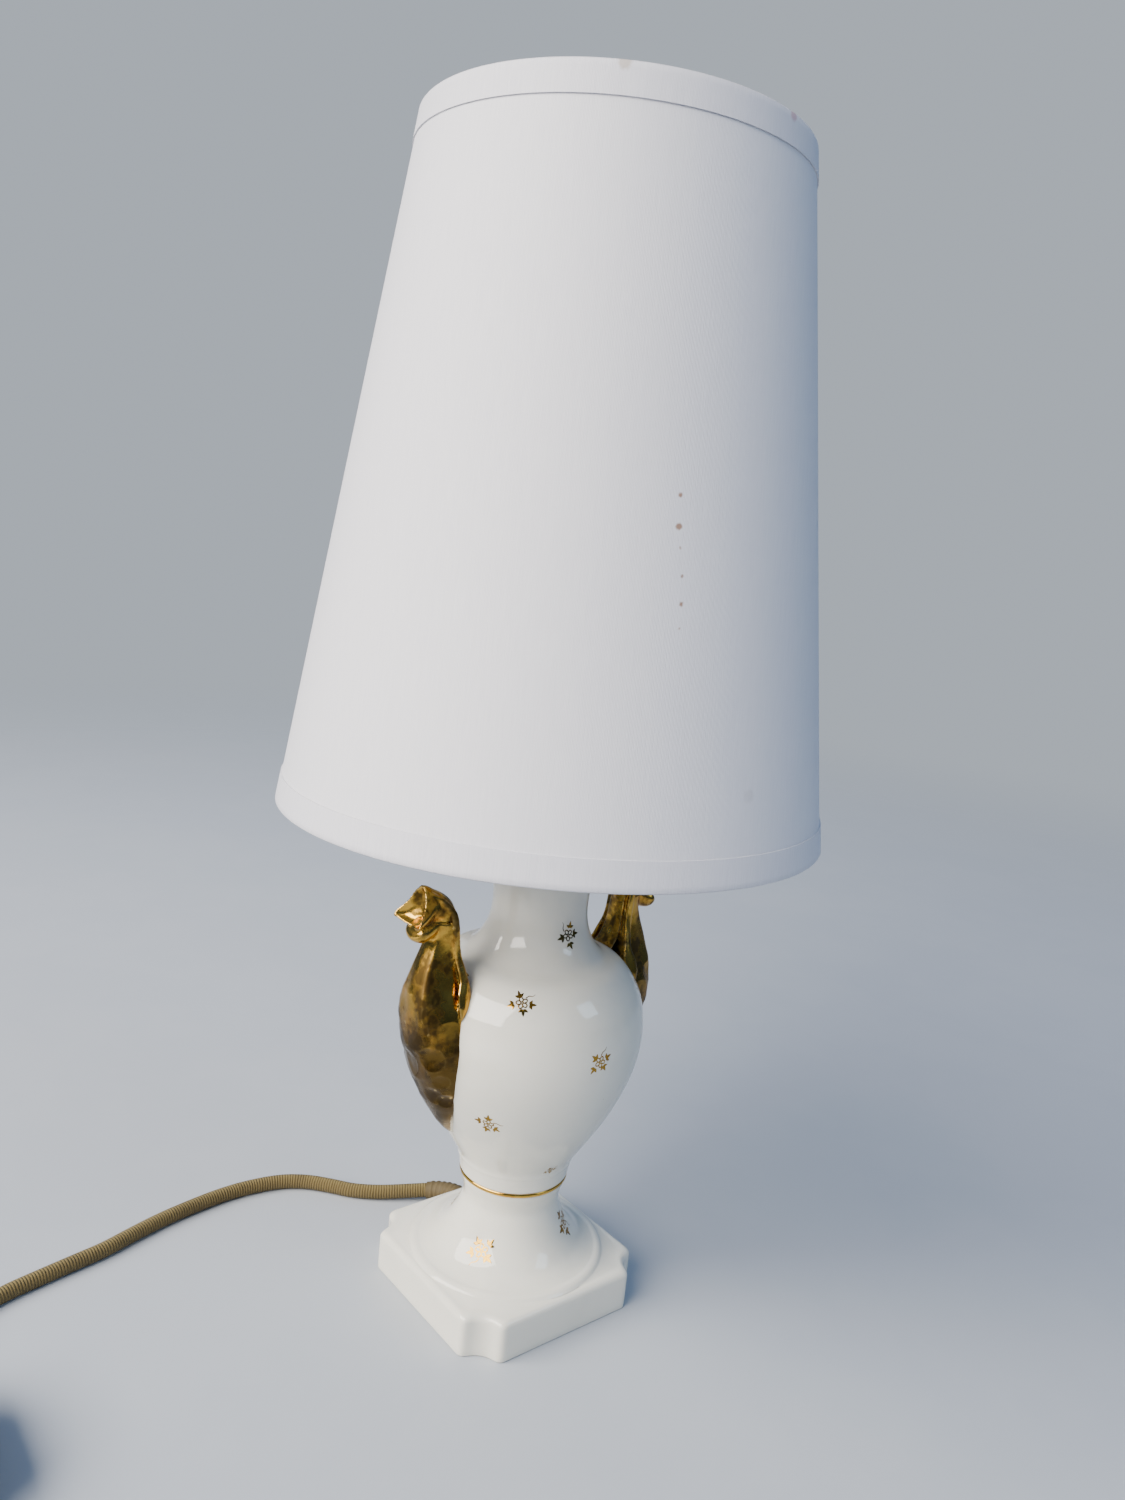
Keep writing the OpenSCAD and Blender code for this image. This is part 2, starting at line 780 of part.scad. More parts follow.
// The plug's outside in the plane of the table, from its cord end at y = 0 to its face
module plug_plan(t) {
    polygon([
        [-8 + t, 4 + t], [8 - t, 4 + t], [15 - t, 16 + t], [17 - t, 24], [17 - t, plug_l - t],
        [-17 + t, plug_l - t], [-17 + t, 24], [-15 + t, 16 + t]
    ]);
}

module plug_form() {
    difference() {
        union() {
            linear_extrude(plug_h) plug_plan(0);
            translate([0, 0, plug_h / 2])
                rotate([-90, 0, 0]) cylinder(r = collar_r, h = 10);
        }
        translate([0, 0, 2]) linear_extrude(plug_h - 4) plug_plan(3);
        for (x = [-plug_pin_x, plug_pin_x])
            translate([x, 20, plug_h / 2])
                rotate([-90, 0, 0]) cylinder(r = pin_r, h = 30);
    }
}

// One half of the plug: low is the height of its lower face
module plug_half(low) {
    translate(plug_at)
        difference() {
            union() {
                intersection() {
                    plug_form();
                    translate([-50, -1, low]) cube([100, 100, plug_h / 2]);
                }
                translate([0, 20, low]) cylinder(r = 3.6, h = plug_h / 2);
            }
            translate([0, 20, -eps]) {
                cylinder(r = 1.6, h = plug_h - 2);
                cylinder(r = 3, h = 2.6);
            }
        }
}

module plug_base() {
    color("black") plug_half(0);
}

module plug_cover() {
    color("black") plug_half(plug_h / 2);
}

module plug_pins() {
    color("gold")
        translate(plug_at)
            for (x = [-plug_pin_x, plug_pin_x])
                translate([x, plug_l - 8, plug_h / 2])
                    rotate([-90, 0, 0]) cylinder(r = pin_r, h = plug_pin_l + 8);
}

module plug_screw() {
    color("silver")
        translate(plug_at + [0, 20, 0.6]) {
            cylinder(r = 2.9, h = 1.9);
            cylinder(r = 1.6, h = plug_h - 3.5);
        }
}

pedestal_foot();
urn_body();
handle_left();
handle_right();
threaded_tube();
base_nut();
base_washer();
cushion_washer();
vase_cap();
lock_nut();
holder_base();
holder_insulator();
terminal_screws();
holder_sleeve();
contact_plungers();
plunger_springs();
lower_shade_ring();
upper_shade_ring();
bulb_cap();
bulb_glass();
bulb_filament();
shade_spider();
shade_bottom_ring();
shade_top_ring();
shade_liner();
shade_fabric();
shade_bottom_tape();
shade_top_tape();
internal_lead();
cord_bush();
cord_to_switch();
switch_base();
switch_cover();
switch_rocker();
switch_contacts();
switch_screws();
cord_to_coil();
cord_coil();
coil_tie();
cord_to_plug();
plug_base();
plug_cover();
plug_pins();
plug_screw();
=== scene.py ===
"""A small table lamp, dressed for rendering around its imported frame.

A cream porcelain urn with two gilded swan handles stands on a square notched foot and carries a
tall tapered fabric shade. A textile cord runs from the foot through a rocker switch to a coil and
a plug. Every length is in metres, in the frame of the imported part: the origin is the centre of
the foot's underside, +Z is up and X runs through the handles.
"""

import json
import logging
import math
from dataclasses import dataclass
from enum import Enum
from typing import Callable, Sequence

import bpy
import numpy as np
from mathutils import Matrix, Vector, noise


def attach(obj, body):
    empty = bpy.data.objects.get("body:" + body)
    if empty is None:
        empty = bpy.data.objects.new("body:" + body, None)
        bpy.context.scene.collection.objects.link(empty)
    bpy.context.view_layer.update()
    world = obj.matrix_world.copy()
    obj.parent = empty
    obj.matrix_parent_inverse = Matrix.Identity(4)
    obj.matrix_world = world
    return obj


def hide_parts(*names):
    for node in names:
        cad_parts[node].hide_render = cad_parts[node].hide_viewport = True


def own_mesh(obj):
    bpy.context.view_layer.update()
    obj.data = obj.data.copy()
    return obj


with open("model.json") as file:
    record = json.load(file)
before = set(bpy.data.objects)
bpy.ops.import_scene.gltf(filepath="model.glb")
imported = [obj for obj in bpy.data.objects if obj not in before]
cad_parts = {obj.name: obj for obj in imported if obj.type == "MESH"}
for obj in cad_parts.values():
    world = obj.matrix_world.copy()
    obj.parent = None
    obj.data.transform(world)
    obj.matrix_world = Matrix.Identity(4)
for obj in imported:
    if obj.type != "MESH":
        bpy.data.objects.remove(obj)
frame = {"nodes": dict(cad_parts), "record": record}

log = logging.getLogger("table_lamp")

MM = 0.001
Colour = tuple[float, float, float]
Socket = bpy.types.NodeSocket
Value = Socket | float | Sequence[float]


# ---------------------------------------------------------------- curves and meshes


def smooth(points: Sequence[Sequence[float]], steps: int) -> np.ndarray:
    """Draws a smooth curve through points.

    Args:
        points: The points, of any number of coordinates.
        steps: How many pieces each stretch between two points is cut into.

    Returns:
        The curve's points, one row each.
    """
    p = np.asarray(points, float)
    before = np.vstack([p[:1], p[:-2]])
    after = np.vstack([p[2:], p[-1:]])
    t = (np.arange(steps) / steps)[None, :, None]
    a, b, c, d = (q[:, None, :] for q in (before, p[:-1], p[1:], after))
    curve = 0.5 * (2 * b + (c - a) * t + (2 * a - 5 * b + 4 * c - d) * t**2 + (3 * b - a - 3 * c + d) * t**3)
    return np.vstack([curve.reshape(-1, p.shape[1]), p[-1:]])


def unit(v: np.ndarray) -> np.ndarray:
    """Scales each row of v to length 1."""
    return v / np.maximum(np.linalg.norm(v, axis=-1, keepdims=True), 1e-12)


def along(path: np.ndarray) -> np.ndarray:
    """Measures how far along a path each of its points is."""
    return np.concatenate([[0.0], np.cumsum(np.linalg.norm(np.diff(path, axis=0), axis=1))])


def spaced(path: np.ndarray, step: float) -> np.ndarray:
    """Walks a path again with points about step apart.

    Args:
        path: The path's points.
        step: The distance wanted between points.

    Returns:
        The new points.
    """
    at = along(path)
    marks = np.linspace(0, at[-1], max(2, round(at[-1] / step) + 1))
    return np.stack([np.interp(marks, at, path[:, k]) for k in range(path.shape[1])], axis=1)


def round_corner(corner: Sequence[float], radius: float, start: float, end: float, steps: int = 6) -> list:
    """Lists the points of an arc about a centre, from one angle to another in degrees."""
    angles = np.radians(np.linspace(start, end, steps))
    return [[corner[0] + radius * math.cos(a), corner[1] + radius * math.sin(a)] for a in angles]


def revolved(outline: Sequence[Sequence[float]], segments: int) -> np.ndarray:
    """Turns an outline of [radius, height] points about the lamp's axis.

    Args:
        outline: The outline's points.
        segments: How many points each ring gets.

    Returns:
        An array of rings, one per outline point.
    """
    p = np.asarray(outline, float)
    turn = 2 * math.pi * np.arange(segments) / segments
    x = p[:, :1] * np.cos(turn)
    y = p[:, :1] * np.sin(turn)
    return np.stack([x, y, np.repeat(p[:, 1:], segments, axis=1)], axis=2)


def swept(
    path: np.ndarray, across: np.ndarray, thick: np.ndarray, sides: int, level: Sequence[float] = (0, 0, 1)
) -> np.ndarray:
    """Sweeps an ellipse along a path.

    Args:
        path: The path's points.
        across: Half the width at each point, square to level.
        thick: Half the thickness at each point, as near to level as the path allows.
        sides: How many points each ring gets.
        level: The direction that the thickness leans to.

    Returns:
        An array of rings, one per path point.
    """
    tangent = unit(np.gradient(path, axis=0))
    side = unit(np.cross(tangent, np.asarray(level, float)))
    up = np.cross(side, tangent)
    turn = 2 * math.pi * np.arange(sides) / sides
    across = np.broadcast_to(across, len(path))[:, None, None]
    thick = np.broadcast_to(thick, len(path))[:, None, None]
    round_side = side[:, None, :] * np.sin(turn)[None, :, None] * across
    round_up = up[:, None, :] * np.cos(turn)[None, :, None] * thick
    return path[:, None, :] + round_side + round_up


class Shell:
    """Points, faces and texture places of a mesh while it is being made."""

    def __init__(self) -> None:
        """Starts an empty shell."""
        self.points: list[np.ndarray] = []
        self.faces: list[tuple[int, ...]] = []
        self.places: list[tuple[float, float]] = []
        self.count = 0

    def skin(
        self, rings: np.ndarray, loop: bool = False, caps: bool = True, places: np.ndarray | None = None
    ) -> None:
        """Adds the surface through rings that all have the same number of points.

        Args:
            rings: An array of rings of points.
            loop: Whether the last ring joins the first one.
            caps: Whether the two end rings are closed.
            places: Texture places in metres, for each ring and each of its points and the first one again.
        """
        n, m = rings.shape[:2]
        if places is None:
            places = np.zeros((n + 1, m + 1, 2))
        start = self.count
        for i in range(n if loop else n - 1):
            low, high = start + i * m, start + (i + 1) % n * m
            for k in range(m):
                j = (k + 1) % m
                self.faces.append((low + k, low + j, high + j, high + k))
                for a, b in ((i, k), (i, k + 1), (i + 1, k + 1), (i + 1, k)):
                    self.places.append(tuple(places[a, b]))
        if caps and not loop:
            self.faces.append(tuple(start + k for k in reversed(range(m))))
            self.faces.append(tuple(start + (n - 1) * m + k for k in range(m)))
            self.places += [(0.0, 0.0)] * (2 * m)
        self.points.append(rings.reshape(-1, 3))
        self.count += n * m

    def piece(self, name: str, sharp: float | None = None) -> bpy.types.Object:
        """Makes the mesh object.

        Args:
            name: The object's name.
            sharp: The angle in degrees above which an edge shades as a sharp one.

        Returns:
            The object, linked to the scene.
        """
        mesh = bpy.data.meshes.new(name)
        mesh.from_pydata(np.vstack(self.points).tolist(), [], self.faces)
        layer = mesh.uv_layers.new(name="Places")
        layer.data.foreach_set("uv", np.asarray(self.places, np.float32).ravel())
        mesh.validate()
        return placed(mesh, name, sharp)


def placed(mesh: bpy.types.Mesh, name: str, sharp: float | None = None) -> bpy.types.Object:
    """Puts a mesh in the scene as a smooth-shaded object.

    Args:
        mesh: The mesh.
        name: The object's name.
        sharp: The angle in degrees above which an edge shades as a sharp one.

    Returns:
        The object.
    """
    mesh.polygons.foreach_set("use_smooth", [True] * len(mesh.polygons))
    if sharp is not None:
        mesh.set_sharp_from_angle(angle=math.radians(sharp))
    thing = bpy.data.objects.new(name, mesh)
    bpy.context.scene.collection.objects.link(thing)
    return thing


def applied(thing: bpy.types.Object) -> bpy.types.Object:
    """Turns an object's modifiers into plain mesh.

    Args:
        thing: The object.

    Returns:
        The same object, with its new mesh.
    """
    graph = bpy.context.evaluated_depsgraph_get()
    made = bpy.data.meshes.new_from_object(thing.evaluated_get(graph))
    thing.modifiers.clear()
    thing.data = made
    return thing


def cut(thing: bpy.types.Object, tool: bpy.types.Object) -> None:
    """Cuts a tool's shape out of an object and throws the tool away.

    Args:
        thing: The object that is cut.
        tool: The shape that is taken out of it.
    """
    modifier = thing.modifiers.new("cut", "BOOLEAN")
    modifier.operation = "DIFFERENCE"
    modifier.solver = "EXACT"
    modifier.object = tool
    applied(thing)
    bpy.data.objects.remove(tool)


def vertices(mesh: bpy.types.Mesh) -> np.ndarray:
    """Reads a mesh's points.

    Args:
        mesh: The mesh.

    Returns:
        The points, one row each.
    """
    flat = np.zeros(len(mesh.vertices) * 3, np.float32)
    mesh.vertices.foreach_get("co", flat)
    return flat.reshape(-1, 3).astype(float)


# ---------------------------------------------------------------- node graphs


class Graph:
    """Adds nodes to one node tree and joins them."""

    def __init__(self, tree: bpy.types.NodeTree) -> None:
        """Takes the tree that the nodes go in."""
        self.tree = tree

    def add(self, kind: str, inputs: dict | None = None, **settings: object) -> bpy.types.Node:
        """Adds a node.

        Args:
            kind: The node's type, without its ShaderNode prefix.
            inputs: Values or sockets for its inputs, by name or number.
            settings: The node's own properties.

        Returns:
            The node.
        """
        node = self.tree.nodes.new("ShaderNode" + kind)
        for name, value in settings.items():
            setattr(node, name, value)
        for name, value in (inputs or {}).items():
            self.feed(node.inputs[name], value)
        return node

    def feed(self, target: Socket, value: Value) -> None:
        """Links a socket to target, or sets target's own value.

        Args:
            target: The input socket.
            value: A socket, a number or a row of numbers.
        """
        if isinstance(value, Socket):
            self.tree.links.new(value, target)
        elif isinstance(value, (tuple, list)) and target.type == "RGBA":
            target.default_value = (*value[:3], 1.0)
        else:
            target.default_value = value

    def sum(self, operation: str, a: Value, b: Value = 0.0, c: Value = 0.0) -> Socket:
        """Does arithmetic on values."""
        return self.add("Math", {0: a, 1: b, 2: c}, operation=operation).outputs[0]

    def between(
        self, value: Socket, low: float, high: float, to_low: float = 0.0, to_high: float = 1.0
    ) -> Socket:
        """Maps a value from one range to another, held at both ends."""
        inputs = {0: value, 1: low, 2: high, 3: to_low, 4: to_high}
        return self.add("MapRange", inputs, interpolation_type="SMOOTHSTEP").outputs[0]

    def mix(self, share: Value, a: Value, b: Value) -> Socket:
        """Mixes two colours."""
        return self.add("Mix", {0: share, 6: a, 7: b}, data_type="RGBA").outputs[2]

    def split(self, vector: Socket) -> tuple[Socket, Socket, Socket]:
        """Takes a vector apart."""
        return tuple(self.add("SeparateXYZ", {0: vector}).outputs)

    def join(self, x: Value, y: Value, z: Value = 0.0) -> Socket:
        """Puts a vector together."""
        return self.add("CombineXYZ", {0: x, 1: y, 2: z}).outputs[0]

    def noise(self, place: Socket, scale: Value, detail: float = 2.0, rough: float = 0.5) -> Socket:
        """Adds a noise pattern."""
        inputs = {"Vector": place, "Scale": scale, "Detail": detail, "Roughness": rough}
        return self.add("TexNoise", inputs).outputs[0]

    def bump(self, height: Socket, depth: float, normal: Socket | None = None) -> Socket:
        """Turns a height of 0 to 1 into a normal, for a relief depth in metres.

        Args:
            height: The height, from 0 to 1.
            depth: The relief depth in metres.
            normal: A normal that is there already, to build on.

        Returns:
            The normal.
        """
        inputs = {"Height": height, "Distance": depth, "Strength": 1.0}
        if normal is not None:
            inputs["Normal"] = normal
        return self.add("Bump", inputs).outputs[0]


class SocketKind(Enum):
    """The kinds of socket that an effect has."""

    VALUE = "NodeSocketFloat"
    VECTOR = "NodeSocketVector"


class Effect:
    """A pattern that several finishes share: one node group with named inputs and outputs."""

    made: dict[str, bpy.types.NodeTree] = {}

    def __init__(
        self,
        name: str,
        inputs: dict[str, SocketKind],
        outputs: dict[str, SocketKind],
        draw: Callable[[Graph, dict[str, Socket]], dict[str, Socket]],
    ) -> None:
        """Holds what is needed to build the group once.

        Args:
            name: The group's name.
            inputs: Its input sockets.
            outputs: Its output sockets.
            draw: Adds the nodes, and returns the socket that each output takes.
        """
        self.name = name
        self.inputs = inputs
        self.outputs = outputs
        self.draw = draw

    def group(self) -> bpy.types.NodeTree:
        """Builds the node group, or returns the one that is there.

        Returns:
            The node group.
        """
        if self.name not in self.made:
            tree = bpy.data.node_groups.new(self.name, "ShaderNodeTree")
            for name, kind in self.inputs.items():
                tree.interface.new_socket(name=name, in_out="INPUT", socket_type=kind.value)
            for name, kind in self.outputs.items():
                tree.interface.new_socket(name=name, in_out="OUTPUT", socket_type=kind.value)
            start = tree.nodes.new("NodeGroupInput")
            end = tree.nodes.new("NodeGroupOutput")
            graph = Graph(tree)
            for name, socket in self.draw(graph, {s.name: s for s in start.outputs if s.name}).items():
                graph.feed(end.inputs[name], socket)
            self.made[self.name] = tree
        return self.made[self.name]

    def use(self, graph: Graph, **values: Value) -> dict[str, Socket]:
        """Places the effect in a material.

        Args:
            graph: The material's graph.
            values: Its inputs, with _ for a space.

        Returns:
            Its output sockets by name.
        """
        node = graph.add("Group", node_tree=self.group())
        for name, value in values.items():
            graph.feed(node.inputs[name.replace("_", " ")], value)
        return {s.name: s for s in node.outputs}


def draw_patches(g: Graph, i: dict[str, Socket]) -> dict[str, Socket]:
    """Draws soft uneven patches.

    Args:
        g: The group's graph.
        i: Its input sockets by name.

    Returns:
        The socket that each output takes, by name.
    """
    wide = g.noise(i["Place"], i["Scale"], 3.0, 0.55)
    fine = g.noise(i["Place"], g.sum("MULTIPLY", i["Scale"], 5.0), 2.0)
    both = g.sum("MULTIPLY_ADD", fine, 0.25, g.sum("MULTIPLY", wide, 0.75))
    level = g.sum("SUBTRACT", 1.0, i["Cover"])
    rise = g.sum("DIVIDE", g.sum("SUBTRACT", both, level), 0.12)
    return {"Mask": g.add("Clamp", {0: g.sum("ADD", rise, 0.5)}).outputs[0]}


def draw_pits(g: Graph, i: dict[str, Socket]) -> dict[str, Socket]:
    """Draws small scattered dots, most cells empty.

    Args:
        g: The group's graph.
        i: Its input sockets by name.

    Returns:
        The socket that each output takes, by name.
    """
    cells = g.add("TexVoronoi", {"Vector": i["Place"], "Scale": i["Scale"]})
    chance = g.split(cells.outputs["Color"])[0]
    chosen = g.sum("LESS_THAN", chance, i["Share"])
    size = g.sum("MULTIPLY_ADD", g.split(cells.outputs["Color"])[1], 0.14, 0.05)
    dot = g.sum("SUBTRACT", 1.0, g.sum("DIVIDE", cells.outputs["Distance"], size))
    return {"Mask": g.sum("MULTIPLY", chosen, g.add("Clamp", {0: dot}).outputs[0])}


def draw_edge_wear(g: Graph, i: dict[str, Socket]) -> dict[str, Socket]:
    """Draws rubbed patches on raised edges.

    Args:
        g: The group's graph.
        i: Its input sockets by name.

    Returns:
        The socket that each output takes, by name.
    """
    point = g.add("NewGeometry").outputs["Pointiness"]
    raised = g.between(point, 0.5, 0.56)
    uneven = g.between(g.noise(i["Place"], i["Scale"], 4.0, 0.6), 0.35, 0.65)
    rubbed = g.sum("MULTIPLY", raised, uneven)
    return {"Mask": g.add("Clamp", {0: g.sum("MULTIPLY", rubbed, i["Amount"])}).outputs[0]}


def draw_crease_shade(g: Graph, i: dict[str, Socket]) -> dict[str, Socket]:
    """Draws painted shade in hollow creases."""
    point = g.add("NewGeometry").outputs["Pointiness"]
    return {"Mask": g.sum("MULTIPLY", g.between(point, 0.49, 0.42), i["Amount"])}


def draw_dust(g: Graph, i: dict[str, Socket]) -> dict[str, Socket]:
    """Draws a thin uneven film on faces that look up.

    Args:
        g: The group's graph.
        i: Its input sockets by name.

    Returns:
        The socket that each output takes, by name.
    """
    up = g.split(g.add("NewGeometry").outputs["Normal"])[2]
    lying = g.between(up, 0.3, 1.0)
    uneven = g.between(g.noise(i["Place"], 90.0, 4.0, 0.65), 0.3, 0.75)
    return {"Mask": g.sum("MULTIPLY", g.sum("MULTIPLY", lying, uneven), i["Amount"])}


def draw_weave(g: Graph, i: dict[str, Socket]) -> dict[str, Socket]:
    """Draws plain-woven threads: over and under, the pitch in metres each way.

    Args:
        g: The group's graph.
        i: Its input sockets by name.

    Returns:
        The socket that each output takes, by name.
    """
    u, v, _ = g.split(i["Place"])
    column = g.sum("DIVIDE", u, i["Pitch across"])
    row = g.sum("DIVIDE", v, i["Pitch along"])
    odd = g.sum("MULTIPLY", g.sum("FLOOR", column), 0.5)
    over = g.sum("SINE", g.sum("MULTIPLY", g.sum("ADD", row, odd), 2 * math.pi))
    crown = g.sum("ABSOLUTE", g.sum("SINE", g.sum("MULTIPLY", column, math.pi)))
    height = g.sum("MULTIPLY", crown, g.sum("MULTIPLY_ADD", over, 0.5, 0.5))
    lot = g.add("TexWhiteNoise", {"Vector": g.join(g.sum("FLOOR", column), 0.0)}, noise_dimensions="3D")
    return {"Height": height, "Thread": lot.outputs[0]}


def draw_streaks(g: Graph, i: dict[str, Socket]) -> dict[str, Socket]:
    """Draws long thin streaks that run along the second coordinate.

    Args:
        g: The group's graph.
        i: Its input sockets by name.

    Returns:
        The socket that each output takes, by name.
    """
    u, v, _ = g.split(i["Place"])
    drawn = g.join(g.sum("MULTIPLY", u, i["Across"]), g.sum("MULTIPLY", v, i["Along"]))
    fine = g.noise(drawn, 1.0, 3.0, 0.6)
    swell = g.noise(drawn, 0.4, 2.0, 0.5)
    return {"Height": g.sum("MULTIPLY_ADD", swell, 0.25, g.sum("MULTIPLY", fine, 0.75))}


def draw_spot(g: Graph, i: dict[str, Socket]) -> dict[str, Socket]:
    """Draws one soft-edged uneven spot about a centre.

    Args:
        g: The group's graph.
        i: Its input sockets by name.

    Returns:
        The socket that each output takes, by name.
    """
    away = g.add("VectorMath", {0: i["Place"], 1: i["Centre"]}, operation="DISTANCE").outputs["Value"]
    uneven = g.sum("MULTIPLY_ADD", g.noise(i["Place"], 900.0, 3.0, 0.6), 0.9, 0.55)
    share = g.sum("DIVIDE", away, g.sum("MULTIPLY", i["Radius"], uneven))
    return {"Mask": g.between(share, 1.0, 0.45)}


PLACE = {"Place": SocketKind.VECTOR}
MASK = {"Mask": SocketKind.VALUE}
PATCHES = Effect(
    "patches", {**PLACE, "Scale": SocketKind.VALUE, "Cover": SocketKind.VALUE}, MASK, draw_patches
)
PITS = Effect("pits", {**PLACE, "Scale": SocketKind.VALUE, "Share": SocketKind.VALUE}, MASK, draw_pits)
EDGE_WEAR = Effect(
    "edge_wear", {**PLACE, "Scale": SocketKind.VALUE, "Amount": SocketKind.VALUE}, MASK, draw_edge_wear
)
# Painted shade in hollow creases
CREASE_SHADE = Effect("painted_crease_shade", {"Amount": SocketKind.VALUE}, MASK, draw_crease_shade)
DUST = Effect("settled_dust", {**PLACE, "Amount": SocketKind.VALUE}, MASK, draw_dust)
WEAVE = Effect(
    "weave",
    {**PLACE, "Pitch across": SocketKind.VALUE, "Pitch along": SocketKind.VALUE},
    {"Height": SocketKind.VALUE, "Thread": SocketKind.VALUE},
    draw_weave,
)
SPOT = Effect("spot", {**PLACE, "Centre": SocketKind.VECTOR, "Radius": SocketKind.VALUE}, MASK, draw_spot)
STREAKS = Effect(
    "streaks",
    {**PLACE, "Across": SocketKind.VALUE, "Along": SocketKind.VALUE},
    {"Height": SocketKind.VALUE},
    draw_streaks,
)


# ---------------------------------------------------------------- finishes


@dataclass(frozen=True)
class Finish:
    """A surface: a name, the record's material slot and how its nodes are drawn."""

    name: str
    slot: str

    def draw(self, g: Graph, body: bpy.types.Node, place: Socket) -> None:
        """Sets the Principled shader's sockets. Each finish has its own.

        Args:
            g: The material's graph.
            body: The Principled shader.
            place: The place on the object, in metres.
        """

    def material(self) -> bpy.types.Material:
        """Builds the material, or returns the one that is there.

        Returns:
            The material.
        """
        if self.name in bpy.data.materials:
            return bpy.data.materials[self.name]
        made = bpy.data.materials.new(self.name)
        made.use_nodes = True
        graph = Graph(made.node_tree)
        body = made.node_tree.nodes["Principled BSDF"]
        self.draw(graph, body, graph.add("TexCoord").outputs["Object"])
        return made

    def put_on(self, *things: bpy.types.Object) -> None:
        """Gives objects this finish.

        Args:
            things: The objects.
        """
        for thing in things:
            if not thing.material_slots:
                thing.data.materials.append(None)
            for material_slot in thing.material_slots:
                material_slot.material = self.material()


@dataclass(frozen=True)
class Porcelain(Finish):
    """Cast porcelain under a clear gloss glaze."""

    tone: Colour = (0.79, 0.765, 0.665)
    shade_tone: Colour = (0.72, 0.70, 0.61)
    gloss: float = 0.06
    ripple: float = 0.05 * MM
    pit_tone: Colour = (0.32, 0.27, 0.20)

    def draw(self, g: Graph, body: bpy.types.Node, place: Socket) -> None:
        """Draws faint mottling, a few pits and the slight ripple of the glaze.

        Args:
            g: The material's graph.
            body: The Principled shader.
            place: The place on the object, in metres.
        """
        mottle = PATCHES.use(g, Place=place, Scale=38.0, Cover=0.46)["Mask"]
        pits = PITS.use(g, Place=place, Scale=210.0, Share=0.035)["Mask"]
        tone = g.mix(g.sum("MULTIPLY", mottle, 0.35), self.tone, self.shade_tone)
        g.feed(body.inputs["Base Color"], g.mix(g.sum("MULTIPLY", pits, 0.55), tone, self.pit_tone))
        g.feed(body.inputs["Roughness"], g.between(mottle, 0.0, 1.0, self.gloss, self.gloss + 0.035))
        wave = g.noise(place, 55.0, 1.0, 0.4)
        height = g.sum("SUBTRACT", wave, g.sum("MULTIPLY", pits, 0.6))
        g.feed(body.inputs["Normal"], g.bump(height, self.ripple))
        g.feed(body.inputs["IOR"], 1.54)
        g.feed(body.inputs["Subsurface Weight"], 0.12)
        g.feed(body.inputs["Subsurface Scale"], 2 * MM)
        g.feed(body.inputs["Subsurface Radius"], (1.0, 0.85, 0.6))


@dataclass(frozen=True)
class GoldLustre(Finish):
    """Thin fired gold over porcelain, worn brown in patches, with painted shade that darkens it towards the
    bottom and in hollow creases. The gilt attribute says where it reaches.
    """

    bright: Colour = (0.62, 0.36, 0.055)
    amber: Colour = (0.36, 0.145, 0.022)
    # Worn brown, also the colour of the painted shade towards the bottom
    brown: Colour = (0.045, 0.028, 0.011)
    # Painted shade colour for hollow creases
    crease_shade_tone: Colour = (0.022, 0.012, 0.006)
    bare: Colour = (0.74, 0.68, 0.55)
    smear: float = 0.47
    polish: float = 0.20
    dull: float = 0.40
    # How strongly painted shade darkens the gold towards the bottom
    painted_low_shade: float = 0.88
    # How strongly painted shade darkens hollow creases
    crease_shade_amount: float = 0.95
    rubbed_tone: Colour = (0.80, 0.58, 0.22)
    # The painted shade towards the bottom fades out between these two heights
    shade_below: float = 108 * MM
    unshaded_above: float = 150 * MM

    def draw(self, g: Graph, body: bpy.types.Node, place: Socket) -> None:
        """Draws the gold with amber and brown patches, painted shade towards the bottom and in hollow
        creases, and bare glaze where the gilt attribute is 0.

        Args:
            g: The material's graph.
            body: The Principled shader.
            place: The place on the object, in metres.
        """
        amber = PATCHES.use(g, Place=place, Scale=120.0, Cover=0.45)["Mask"]
        worn = PATCHES.use(g, Place=place, Scale=75.0, Cover=self.smear)["Mask"]
        rubbed = EDGE_WEAR.use(g, Place=place, Scale=400.0, Amount=0.5)["Mask"]
        gold = g.mix(g.sum("MULTIPLY", amber, 0.5), self.bright, self.amber)
        gold = g.mix(g.sum("MULTIPLY", worn, 0.88), gold, self.brown)
        # Painted shade: the gold turns brown below a height that wavers with the amber patches
        height = g.sum("MULTIPLY_ADD", amber, 12 * MM, g.split(place)[2])
        high = g.between(height, self.shade_below, self.unshaded_above)
        gold = g.mix(g.sum("MULTIPLY", g.sum("SUBTRACT", 1.0, high), self.painted_low_shade), gold, self.brown)
        gold = g.mix(rubbed, gold, self.rubbed_tone)
        # Painted shade: darker gold in hollow creases
        gold = g.mix(CREASE_SHADE.use(g, Amount=self.crease_shade_amount)["Mask"], gold, self.crease_shade_tone)
        gilt = g.add("Attribute", attribute_name="gilt").outputs["Fac"]
        g.feed(body.inputs["Base Color"], g.mix(gilt, self.bare, gold))
        g.feed(body.inputs["Metallic"], gilt)
        scuff = g.noise(place, 900.0, 3.0, 0.6)
        rough = g.between(worn, 0.0, 1.0, self.polish, self.dull)
        g.feed(body.inputs["Roughness"], g.sum("MULTIPLY_ADD", scuff, 0.10, g.sum("SUBTRACT", rough, 0.05)))
        g.feed(body.inputs["Normal"], g.bump(g.noise(place, 260.0, 3.0, 0.6), 0.06 * MM))


